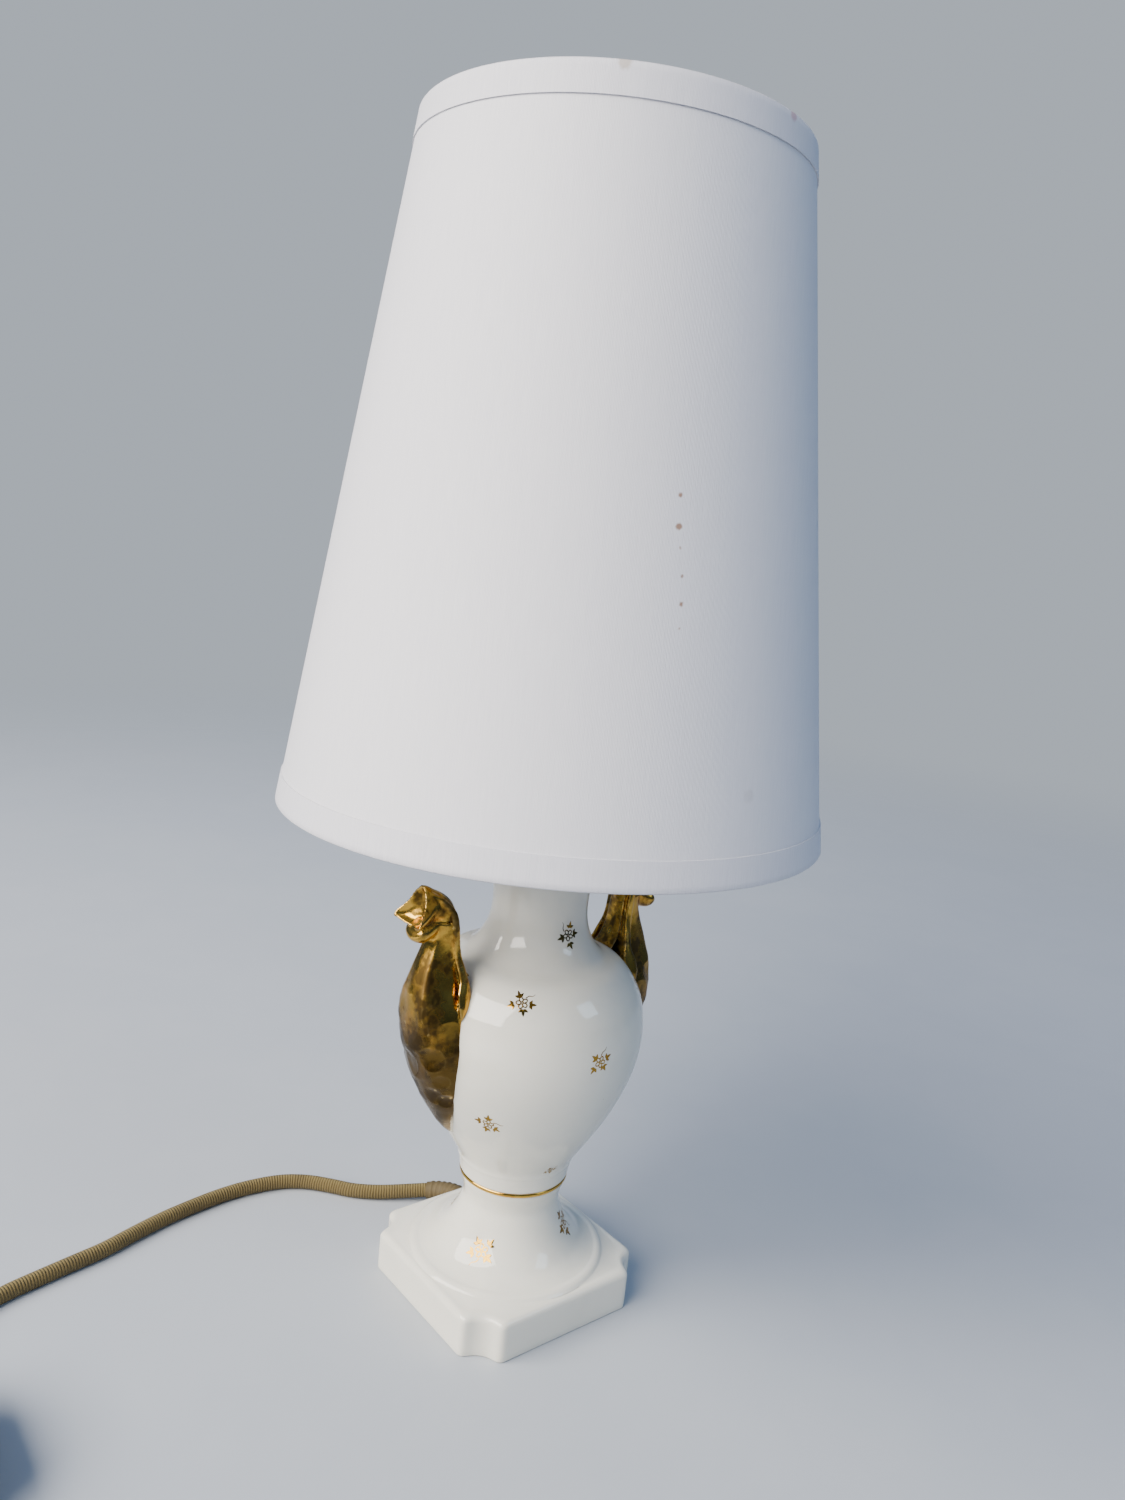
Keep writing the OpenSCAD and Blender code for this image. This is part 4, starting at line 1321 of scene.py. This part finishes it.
@dataclass
class Urn:
    """The urn: a collar, a full belly, a shoulder between two soft ridges and a flared neck."""

    around: int = 256
    wall: float = 4 * MM

    # Points of the outside as [radius, height], in millimetres
    collar = ((21.2, 49.55), (21.5, 49.8), (21.7, 51), (22.0, 52.8), (22.5, 55.0), (22.75, 55.7))
    belly = (
        (22.95, 56.3), (23.6, 58.6), (26.9, 64.0), (30.4, 69.8), (33.6, 75.5), (36.5, 81.2), (39.0, 86.9),
        (41.1, 92.6), (42.8, 98.4), (43.9, 104), (44.4, 110), (44.25, 115), (43.6, 120), (42.6, 124),
    )
    shoulder = ((42.25, 125.1), (40.3, 129.2), (37.4, 133.4), (33.9, 136.9), (29.9, 138.75))
    neck = (
        (28.9, 139.0), (26.0, 140.4), (23.2, 143.2), (20.7, 147.3), (19.0, 152.0), (18.25, 157.5),
        (18.4, 164), (19.2, 170), (20.6, 175.5), (22.3, 180),
    )
    rim = ((22.9, 181.4), (22.8, 181.9), (22.3, 182), (20.2, 182), (19.6, 181.6))

    def outline(self) -> np.ndarray:
        """Joins the stretches of the outside, each smooth, with soft ridges where they meet.

        Returns:
            The outside's points from the collar to the rim, in metres.
        """
        stretches = [smooth(s, 5) for s in (self.collar, self.belly, self.shoulder, self.neck)]
        return np.vstack([*stretches, np.array(self.rim[:3])]) * MM

    def radius_at(self, heights: np.ndarray) -> np.ndarray:
        """Gives the outside's radius at each height."""
        points = self.outline()
        return np.interp(heights, points[:, 1], points[:, 0])

    def build(self) -> bpy.types.Object:
        """Makes the urn as a closed shell, hollow inside.

        Returns:
            The urn's piece.
        """
        outside = self.outline()
        body = outside[(outside[:, 1] > 60 * MM) & (outside[:, 1] < 178 * MM)]
        normal = unit(np.gradient(body, axis=0))
        inside = body + self.wall * np.stack([-normal[:, 1], normal[:, 0]], axis=1)
        base = np.array([
            (19.5, 57.5), (17.5, 56.2), (14, 55.6), (5.6, 55.5), (5.3, 55.3), (5.3, 49.8), (5.6, 49.5)
        ])
        seat = np.array([(14, 49.5), (20.9, 49.5)])
        mouth = np.array(self.rim[3:])
        loop = np.vstack([outside, mouth * MM, inside[::-1], base * MM, seat * MM])
        shell = Shell()
        shell.skin(revolved(loop, self.around), loop=True)
        urn = shell.piece("porcelain_urn", 55)
        PORCELAIN.put_on(urn)
        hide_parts("urn_body")
        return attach(urn, "lamp")


@dataclass
class Sprig:
    """One gilded flower sprig: five open petals, leaf sprays round it and a curved stem."""

    azimuth: float
    height: float
    spin: float
    size: float = 1.0
    lift: float = 0.06 * MM
    edge_lift: float = 0.035 * MM
    sunk: float = 0.1 * MM

    def ribbons(self) -> list[tuple[np.ndarray, np.ndarray]]:
        """Draws the sprig flat, in millimetres, as ribbons: a centre line and half its width.

        Returns:
            The ribbons.
        """
        drawn = []
        for k in range(5):
            a = math.radians(72 * k + 14)
            centre = 1.25 * np.array([math.cos(a), math.sin(a)])
            turn = np.linspace(0, 2 * math.pi, 19)
            ring = np.stack([0.86 * np.cos(turn), 0.66 * np.sin(turn)], axis=1)
            spun = ring @ np.array([[math.cos(a), math.sin(a)], [-math.sin(a), math.cos(a)]])
            drawn.append((centre + spun, np.full(19, 0.22)))
        for a, reach, lean in ((92, 2.3, 0), (172, 3.0, 12), (262, 2.4, -10), (328, 2.8, 8)):
            root = reach * np.array([math.cos(math.radians(a)), math.sin(math.radians(a))])
            for turn, length in ((-62, 1.9), (0, 2.5), (62, 1.9)):
                drawn.append(self.leaf(root, a + turn + lean, length))
        stem = smooth([(1.9, 1.3), (3.2, 1.5), (4.4, 1.0), (5.6, 1.3)], 5)
        drawn.append((stem, np.linspace(0.2, 0.06, len(stem))))
        return drawn

    def leaf(self, root: np.ndarray, heading: float, length: float) -> tuple[np.ndarray, np.ndarray]:
        """Draws one leaf from its root.

        Args:
            root: Where it starts.
            heading: Its direction in degrees.
            length: Its length.

        Returns:
            The leaf's centre line and half its width.
        """
        t = np.linspace(0, 1, 9)
        way = np.array([math.cos(math.radians(heading)), math.sin(math.radians(heading))])
        return root + np.outer(t * length, way), 0.07 + 0.52 * np.sin(math.pi * t**0.8) * (1 - 0.2 * t)

    def lay(self, shell: Shell, outline: np.ndarray) -> None:
        """Lays the sprig on a turned surface as thin raised gold.

        Args:
            shell: The mesh that it is added to.
            outline: The surface's outline as [radius, height], in metres.
        """
        at = along(outline)
        home = np.interp(self.height, outline[:, 1], at)
        slope = unit(np.gradient(outline, axis=0))
        spin = math.radians(self.spin)
        spinner = np.array([[math.cos(spin), math.sin(spin)], [-math.sin(spin), math.cos(spin)]])

        def surface(flat: np.ndarray, lift: float) -> np.ndarray:
            """Puts flat points on the surface, lifted off it.

            Args:
                flat: The flat points.
                lift: How far off the surface they lie.

            Returns:
                The points in space.
            """
            up = home + flat[:, 1]
            r, z = (np.interp(up, at, outline[:, k]) for k in (0, 1))
            out, rise = (np.interp(up, at, slope[:, k]) for k in (1, 0))
            turn = math.radians(self.azimuth) + flat[:, 0] / np.interp(home, at, outline[:, 0])
            reach = r + lift * out
            return np.stack([reach * np.cos(turn), reach * np.sin(turn), z - lift * rise], axis=1)

        for line, half in self.ribbons():
            line = line * self.size @ spinner * MM
            square_to_line = unit(np.gradient(line, axis=0))[:, ::-1] * np.array([1, -1])
            across = square_to_line * (half * self.size * MM)[:, None]
            left, right = line - across, line + across
            rings = [
                surface(left, -self.sunk), surface(left, self.edge_lift), surface(line, self.lift),
                surface(right, self.edge_lift), surface(right, -self.sunk),
            ]
            shell.skin(np.stack(rings, axis=1)[:, ::-1])


@dataclass
class Gilding:
    """The painted gold: a band at the foot's top and sprigs scattered over foot and urn."""

    foot: Foot
    urn: Urn

    on_urn = (
        Sprig(-133.5, 133.1 * MM, 25), Sprig(-92.4, 151.8 * MM, 105), Sprig(-91.6, 112.8 * MM, 50),
        Sprig(-145.2, 85.6 * MM, -5), Sprig(-94.0, 60.0 * MM, 30, 0.55), Sprig(-38, 128 * MM, 150),
        Sprig(-40, 92 * MM, 75), Sprig(42, 131 * MM, 200), Sprig(88, 114 * MM, 310),
        Sprig(138, 129 * MM, 80), Sprig(36, 86 * MM, 250), Sprig(132, 90 * MM, 15),
        Sprig(84, 150 * MM, 130), Sprig(98, 66 * MM, 60, 0.7),
    )
    on_foot = (
        Sprig(-150.4, 25.4 * MM, 235, 1.2), Sprig(-50, 29.0 * MM, 300, 1.2), Sprig(40, 26.5 * MM, 40, 1.2),
        Sprig(118, 29 * MM, 160, 1.2),
    )

    def build(self) -> None:
        """Makes the gold band and the sprigs."""
        shell = Shell()
        section = [(20.95 + 0.5 * math.cos(a), 48.4 + 0.8 * math.sin(a)) for a in np.linspace(-1.5, 1.5, 9)]
        section += [(20.4, 49.2), (20.4, 47.6)]
        shell.skin(revolved(np.array(section) * MM, 192), loop=True)
        self.dress(shell.piece("gold_band", 60))
        for name, sprigs, outline in (
            ("gold_sprigs_on_urn", self.on_urn, self.urn.outline()),
            ("gold_sprigs_on_foot", self.on_foot, smooth(self.foot.trumpet, 5) * MM),
        ):
            shell = Shell()
            for sprig in sprigs:
                sprig.lay(shell, outline)
            self.dress(shell.piece(name, 40))

    def dress(self, piece: bpy.types.Object) -> None:
        """Gives a gilded piece its finish all over and fixes it to the lamp.

        Args:
            piece: The gilded piece.
        """
        gild(piece, np.ones(len(piece.data.vertices)))
        BURNISHED.put_on(piece)
        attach(piece, "lamp")


def gild(piece: bpy.types.Object, share: np.ndarray) -> None:
    """Writes how much gold each point of a piece carries, 1 for all and 0 for bare glaze."""
    layer = piece.data.attributes.new("gilt", "FLOAT", "POINT")
    layer.data.foreach_set("value", np.asarray(share, np.float32))


@dataclass
class SwanHandle:
    """One handle, drawn on the +X side: a full breast, a narrow neck and a head with a scooped face."""

    urn: Urn
    voxel: float = 0.45 * MM
    sides: int = 48
    crest: float = 0.12
    crest_turn: float = 0.72
    crest_spread: float = 0.26

    # Height, outer x, x of the widest line, half width at it, all in millimetres
    breast = (
        (71.5, 31.6, 31.2, 0.5), (73.5, 34.5, 32.6, 2.0), (76.5, 37.4, 33.6, 3.8), (80, 40.2, 34.8, 5.9),
        (84, 42.6, 36.0, 7.8), (89, 45.6, 37.5, 9.8), (94, 48.2, 38.7, 11.5), (100, 50.9, 40.0, 13.2),
        (106.5, 53.2, 41.0, 14.5), (112.5, 54.9, 41.4, 14.9), (118.5, 56.3, 41.4, 14.3),
        (124, 56.8, 41.2, 12.9), (129, 56.3, 41.2, 11.0), (133.5, 55.2, 41.6, 9.2),
        (138, 53.8, 42.4, 7.8), (142.5, 52.2, 43.0, 6.8),
        (146.5, 50.6, 43.2, 6.1), (150.5, 49.3, 43.2, 5.7), (154, 49.2, 43.2, 5.7), (157.5, 50.2, 43.6, 5.7),
    )
    # The head's sections from the neck outwards: centre x, z, half width, half height
    head = (
        (42.6, 155.0, 4.6, 4.4), (43.6, 158.6, 4.6, 4.8), (45.4, 161.2, 4.8, 5.2), (48.0, 162.6, 5.0, 5.8),
        (50.4, 163.2, 5.4, 6.4),
    )
    # The rim of the scooped face from one lip corner up over the apex and back below: x, y, z
    rim = (
        (59.2, 8.9, 159.0), (55.6, 5.9, 164.2), (54.2, 3.5, 168.6), (53.6, 0.0, 171.3), (54.2, -3.5, 168.6),
        (55.6, -5.9, 164.2), (59.2, -8.9, 159.0), (58.2, -6.4, 157.2), (56.6, -3.2, 156.3),
        (56.0, 0.0, 156.0), (56.6, 3.2, 156.3), (58.2, 6.4, 157.2),
    )
    # Hollows pressed into the breast: x, y, z, reach and depth
    hollows = (
        (56.5, 4.0, 121.5, 10.5, 0.9), (50.8, 10.4, 108.9, 5.2, 0.8), (46.4, 11.4, 99.8, 3.4, 0.5),
        (42.1, 9.4, 90.7, 3.6, 0.6), (46.0, 14.5, 117.5, 6.5, 0.7), (53.6, 2.6, 104.0, 6.5, 0.6),
        (47.0, 7.0, 92.0, 4.5, 0.5), (51.8, 9.6, 125.5, 4.0, 0.5),
    )

    def body(self) -> Shell:
        """Lofts the breast and the neck from level sections.

        Returns:
            The shell.
        """
        rows = smooth(self.breast, 4)
        turn = 2 * math.pi * np.arange(self.sides) / self.sides
        rings = []
        for z, outer, middle, half in rows:
            rise = self.crest * np.interp(z, (112, 126, 150, 158), (0, 1, 1, 0))
            from_front = np.abs((turn + math.pi) % (2 * math.pi) - math.pi)
            ridge = 1 + rise * np.exp(-(((from_front - self.crest_turn) / self.crest_spread) ** 2))
            x = np.cos(turn) * ridge
            y = np.sin(turn) * ridge
            back_wall = 2.2 + 1.2 * min(1.0, max(0.0, (z - 128) / 12))
            reach = np.where(x > 0, (outer - middle) * np.sign(x) * np.abs(x) ** 0.92, back_wall * x)
            rings.append(np.stack([middle + reach, half * y, np.full_like(x, z)], axis=1))
        shell = Shell()
        shell.skin(np.array(rings) * MM)
        return shell

    def head_shell(self) -> Shell:
        """Lofts the head, which flares to a rim with a scooped face, and the jaw under it.

        Returns:
            The shell.
        """
        turn = 2 * math.pi * np.arange(self.sides) / self.sides
        rows = smooth(self.head, 4)
        centre = rows[:, :2]
        way = unit(np.gradient(centre, axis=0))
        rings = []
        for (x, z, wide, high), (dx, dz) in zip(rows, way):
            side, up = np.cos(turn), np.sin(turn)
            width = wide * side * (1 - 0.2 * up)
            height = high * up
            rings.append(np.stack([x - dz * height, width, z + dx * height], axis=1))
        rim = self.rim_ring()
        back = rings[-1]
        for share, lag in ((0.4, 0.6), (0.75, 0.9), (0.95, 0.5)):
            rings.append(back + share * (rim - back) - [lag, 0, 0])
        rings.append(rim)
        middle = rim.mean(axis=0)
        for share, sink in ((0.93, 0.1), (0.84, 1.0), (0.68, 2.4), (0.48, 3.4), (0.25, 4.0), (0.06, 4.2)):
            rings.append(middle + share * (rim - middle) - [sink, 0, 0.15 * sink])
        shell = Shell()
        shell.skin(np.array(rings) * MM)
        jaw = smooth([(46.0, 0, 157.6), (50.6, 0, 155.6), (53.6, 0, 154.6), (55.9, 0, 155.6)], 4)
        share = np.linspace(0, 1, len(jaw))
        wide = np.interp(share, [0, 0.35, 0.7, 0.9, 1], [4.2, 5.2, 6.0, 5.4, 3.8])
        high = np.interp(share, [0, 0.35, 0.7, 0.9, 1], [3.4, 4.2, 4.4, 3.6, 2.2])
        shell.skin(swept(jaw * MM, wide * MM, high * MM, 24))
        return shell

    def rim_ring(self) -> np.ndarray:
        """Draws the rim as one smooth closed ring with as many points as the sections have.

        Returns:
            The ring's points, in millimetres.
        """
        closed = [self.rim[-1], *self.rim, *self.rim[:2]]
        steps = self.sides // len(self.rim)
        return smooth(closed, steps)[steps : steps + self.sides]

    def trim(self) -> Shell:
        """Makes the strap down the back of the neck and the wing on each side of the shoulder.

        Returns:
            The shell.
        """
        shell = Shell()
        back = smooth(
            [(51.4, 0, 169.2), (48.0, 0, 167.8), (44.4, 0, 165.4), (41.6, 0, 162.0), (40.2, 0, 157.6),
             (39.5, 0, 152), (39.0, 0, 146.5), (38.0, 0, 142.0), (36.2, 0, 138.4), (33.6, 0, 135.8)], 4
        )
        share = np.linspace(0, 1, len(back))
        half = np.interp(share, [0, 0.2, 0.45, 0.62, 0.8, 1], [1.8, 3.0, 4.2, 4.4, 5.2, 5.6])
        shell.skin(swept(back * MM, half * MM, 0.9 * MM, 28, (1, 0, 0.4)))
        web = smooth([(42.0, 0, 152), (41.0, 0, 145), (40.4, 0, 138), (39.6, 0, 130), (39.0, 0, 122)], 4)
        wide = np.interp(np.linspace(0, 1, len(web)), [0, 0.25, 0.5, 0.75, 1], [4.2, 5.6, 7.8, 10.2, 12.4])
        shell.skin(swept(web * MM, wide * MM, 2.6 * MM, 28, (1, 0, 0)))
        for side in (-1, 1):
            edge = smooth(
                [(51.8, 2.6, 168.2), (48.0, 4.2, 166.2), (44.8, 5.1, 163.4), (42.7, 5.7, 160.0),
                 (41.7, 6.0, 155), (41.2, 6.2, 149.5), (40.5, 7.0, 144.5), (39.6, 8.6, 140.0),
                 (39.2, 10.2, 135.8), (39.8, 11.8, 131.4), (40.6, 13.0, 127.4), (41.2, 13.5, 123.6)], 4
            ) * np.array([1, side, 1])
            place = np.linspace(0, 1, len(edge))
            wide = np.interp(place, [0, 0.3, 0.55, 0.68, 0.8, 0.9, 1], [1.2, 1.5, 1.5, 1.8, 3.0, 2.4, 0.3])
            thick = np.interp(place, [0, 0.3, 0.7, 0.9, 1], [0.7, 1.0, 1.1, 1.1, 0.3])
            shell.skin(swept(edge * MM, wide * MM, thick * MM, 16, (0, side, -0.25)))
        return shell

    def dent(self, mesh: bpy.types.Mesh) -> None:
        """Pushes shallow hand-worked hollows into the breast.

        Args:
            mesh: The handle's mesh.
        """
        points = vertices(mesh)
        normals = np.zeros(len(points) * 3, np.float32)
        mesh.vertices.foreach_get("normal", normals)
        normals = normals.reshape(-1, 3)
        low = np.clip((136 * MM - points[:, 2]) / (12 * MM), 0, 1)
        wave = np.array([noise.noise(Vector(p) * 95.0) for p in points])
        ripple = np.array([noise.noise(Vector(p) * 260.0 + Vector((7, 3, 1))) for p in points])
        push = (0.45 * np.minimum(wave, 0.05) * low + 0.09 * ripple * (0.35 + 0.65 * low)) * MM
        for side in (1, -1):
            for x, y, z, reach, depth in self.hollows:
                away = np.linalg.norm(points - np.array([x, side * y, z]) * MM, axis=1) / (reach * MM)
                push -= depth * MM * np.clip(1 - away**2, 0, 1)
        moved = points + normals * push[:, None]
        mesh.vertices.foreach_set("co", moved.astype(np.float32).ravel())
        mesh.update()

    def build(self) -> None:
        """Makes both handles: joins the lofts, melts them together and dents the gold."""
        parts = [self.body().piece("body"), self.head_shell().piece("head"), self.trim().piece("trim")]
        whole = Shell()
        for part in parts:
            whole.points.append(vertices(part.data))
            whole.faces += [tuple(v + whole.count for v in f.vertices) for f in part.data.polygons]
            whole.count += len(part.data.vertices)
            bpy.data.objects.remove(part)
        whole.places = [(0.0, 0.0)] * sum(len(f) for f in whole.faces)
        handle = whole.piece("swan_handle_right")
        melt = handle.modifiers.new("melt", "REMESH")
        melt.mode = "VOXEL"
        melt.voxel_size = self.voxel
        melt.use_smooth_shade = True
        soften = handle.modifiers.new("soften", "SMOOTH")
        soften.factor = 0.5
        soften.iterations = 4
        applied(handle)
        self.dent(handle.data)
        other = placed(handle.data.copy(), "swan_handle_left")
        other.data.transform(Matrix.Rotation(math.pi, 4, "Z"))
        for piece, node in ((handle, "handle_right"), (other, "handle_left")):
            points = vertices(piece.data)
            clear = np.hypot(points[:, 0], points[:, 1]) - self.urn.radius_at(points[:, 2])
            low = np.clip((84 * MM - points[:, 2]) / (6 * MM), 0, 1)
            gild(piece, 1 - low * (clear < 0.9 * MM))
            GOLD.put_on(piece)
            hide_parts(node)
            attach(piece, "lamp")


# ---------------------------------------------------------------- shade


@dataclass
class Shade:
    """The tapered shade: fabric on a white liner, bound with tapes over two wire rings."""

    bottom: float = 100 * MM
    top: float = 67 * MM
    low: float = 195 * MM
    high: float = 427 * MM
    tape: float = 9.5 * MM
    fold_width: float = 5.3 * MM
    around: int = 240
    seam: float = 50.0

    def slant(self) -> float:
        """Gives the shade's height measured along its sloping face."""
        return math.hypot(self.bottom - self.top, self.high - self.low)

    def pinch(self) -> float:
        """Gives the sine of the angle between the sloping face and the axis."""
        return (self.bottom - self.top) / self.slant()

    def flat_size(self) -> tuple[float, float]:
        """Works out the cloth that the cover is cut from: the box round a flat ring sector.

        Returns:
            The width and the height of the cloth in metres.
        """
        outer, inner = self.bottom / self.pinch(), self.top / self.pinch()
        half_angle = math.pi * self.pinch()
        return 2 * outer * math.sin(half_angle), outer - inner * math.cos(half_angle)

    def radius(self, z: float) -> float:
        """Gives the radius of the shade's outer face at a height."""
        return self.bottom - (z - self.low) * (self.bottom - self.top) / (self.high - self.low)

    def cut_places(self, outline: np.ndarray, segments: int) -> np.ndarray:
        """Finds where each point of a cone was on the flat cloth that it was rolled from.

        Args:
            outline: The cone's outline as [radius, height].
            segments: How many points each ring has.

        Returns:
            The flat places in metres, with the seam at the cloth's two ends.
        """
        reach = outline[:, 0] / self.pinch()
        turn = 2 * math.pi * np.arange(segments + 1) / segments - math.radians(self.seam)
        turn = np.mod(turn + 1e-9, 2 * math.pi) - math.pi
        x = reach[:, None] * np.sin(turn * self.pinch())
        y = reach[:, None] * np.cos(turn * self.pinch())
        return np.stack([x, y], axis=2)

    def skin(
        self, name: str, outline: Sequence[Sequence[float]], finish: Finish, node: str
    ) -> bpy.types.Object:
        """Makes one turned layer of the shade.

        Args:
            name: The piece's name.
            outline: Its closed outline as [radius, height].
            finish: Its finish.
            node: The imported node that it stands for.

        Returns:
            The piece.
        """
        points = np.array(outline)
        places = self.cut_places(np.vstack([points, points[:1]]), self.around)
        shell = Shell()
        shell.skin(revolved(points, self.around), loop=True, places=places)
        piece = shell.piece(name, 50)
        finish.put_on(piece)
        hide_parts(node)
        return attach(piece, "shade")

    def layer(self, depth: float, thick: float) -> list:
        """Lists the closed outline of a conical layer, with rings close enough to follow the cloth.

        Args:
            depth: How far it lies under the outer face.
            thick: Its thickness.

        Returns:
            The outline's points.
        """
        heights = np.linspace(self.low + 0.7 * MM, self.high - 0.7 * MM, 25)
        outside = [(self.radius(z) - depth, z) for z in heights]
        inside = [(self.radius(z) - depth - thick, z) for z in heights[::-1]]
        return outside + inside

    def binding(self, edge: float, up: int) -> list:
        """Lists the closed outline of a tape folded over an edge.

        Args:
            edge: The height of the shade's edge.
            up: 1 for the bottom edge and -1 for the top edge.

        Returns:
            The outline's points.
        """
        thick = 0.5 * MM
        flap = 5 * MM
        floor = 0.6 * MM
        bulge = 0.75 * MM
        lift = 0.02 * MM
        outer = [(self.radius(edge + up * h) + lift, edge + up * h) for h in np.linspace(self.tape, 0, 6)]
        half = self.fold_width / 2
        middle = self.radius(edge) - half
        fold = []
        for a in np.radians(np.linspace(0, 180, 9)):
            fold.append((middle + half * math.cos(a), edge - up * bulge * math.sin(a)))
        inner_r = middle - half
        inner = [(inner_r - 0.05 * h, edge + up * h) for h in (1 * MM, 3 * MM, flap)]
        back = [(inner_r + thick, edge + up * flap), (inner_r + thick, edge + up * floor)]
        heights = (floor, self.tape / 2, self.tape)
        under = [(self.radius(edge + up * h) - thick, edge + up * h) for h in heights]
        return outer + fold[1:] + inner + back + under

    def build(self) -> None:
        """Makes the fabric, the liner, the tapes and the small marks on them."""
        cover = self.skin("shade_cover", self.layer(0.5 * MM, 0.6 * MM), POLYESTER, "shade_fabric")
        log.info("shade_cover is cut from %.3f by %.3f m", *self.flat_size())
        self.skin("shade_lining", self.layer(1.1 * MM, 0.6 * MM), LAMINATE, "shade_liner")
        bottom = self.skin("bottom_binding", self.binding(self.low, 1), TAPE, "shade_bottom_tape")
        top = self.skin("top_binding", self.binding(self.high, -1), TAPE, "shade_top_tape")


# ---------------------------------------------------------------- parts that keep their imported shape


@dataclass
class ContactSprings:
    """The two springs under the lampholder's contacts, which shorten as the contacts are pressed."""

    seat: float = 204.5 * MM
    length: float = 5.9 * MM
    pressed_share: float = 0.58
    spacing: float = 10.4 * MM
    radius: float = 1.6 * MM
    wire: float = 0.3 * MM
    turns: int = 4
    play: float = 0.1 * MM

    def build(self) -> None:
        """Winds both springs and fixes them to the lamp."""
        turn = np.linspace(0, 2 * math.pi * self.turns, self.turns * 24 + 1)
        low = self.seat + self.play + self.wire
        rise = np.linspace(low, self.seat + self.length - self.wire, len(turn))
        shell = Shell()
        for x in (-self.spacing / 2, self.spacing / 2):
            path = np.stack([x + self.radius * np.cos(turn), self.radius * np.sin(turn), rise], axis=1)
            shell.skin(swept(path, self.wire, self.wire, 10))
        springs = shell.piece("contact_springs", 60)
        STEEL.put_on(springs)
        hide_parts("plunger_springs")
        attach(springs, "lamp")
        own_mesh(springs)


@dataclass
class Fittings:
    """The metal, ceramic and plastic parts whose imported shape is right, with softened edges."""

    edge: float = 0.25 * MM

    def finish_of(self, slot: str) -> Finish | None:
        """Finds the finish for a record slot."""
        finishes = (BRASS, STEEL, INSULATOR, CUSHION, PLASTIC, ENAMEL, GLASS, SHEATH)
        return next((f for f in finishes if f.slot == slot), None)

    def build(self) -> None:
        """Gives every node that still shows its finish."""
        slots = {row["node"]: row["material_slot"] for row in frame["record"]["subparts"]}
        for name, node in frame["nodes"].items():
            finish = self.finish_of(slots[name])
            if node.hide_render or finish is None:
                continue
            finish.put_on(node)
            weld = node.modifiers.new("weld", "WELD")
            weld.merge_threshold = 0.001 * MM
            bevel = node.modifiers.new("edge", "BEVEL")
            bevel.width = self.edge
            bevel.segments = 2
            bevel.limit_method = "ANGLE"
            bevel.angle_limit = math.radians(40)
            bevel.harden_normals = True
            node.data.polygons.foreach_set("use_smooth", [True] * len(node.data.polygons))
            log.info("%s keeps its packed shape", name)


def main() -> None:
    """Builds the whole lamp in order."""
    logging.basicConfig(level=logging.INFO, format="%(name)s %(relativeCreated)6d ms: %(message)s")
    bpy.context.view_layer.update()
    Viewpoint().set_up()
    Studio().set_up()
    Flex().build()
    log.info("cord, strain relief and strap")
    foot = Foot()
    foot.build()
    log.info("foot")
    urn = Urn()
    urn.build()
    log.info("urn")
    Gilding(foot, urn).build()
    log.info("gilding")
    SwanHandle(urn).build()
    log.info("handles")
    Shade().build()
    log.info("shade")
    ContactSprings().build()
    Fittings().build()


if __name__ == "__main__":
    main()
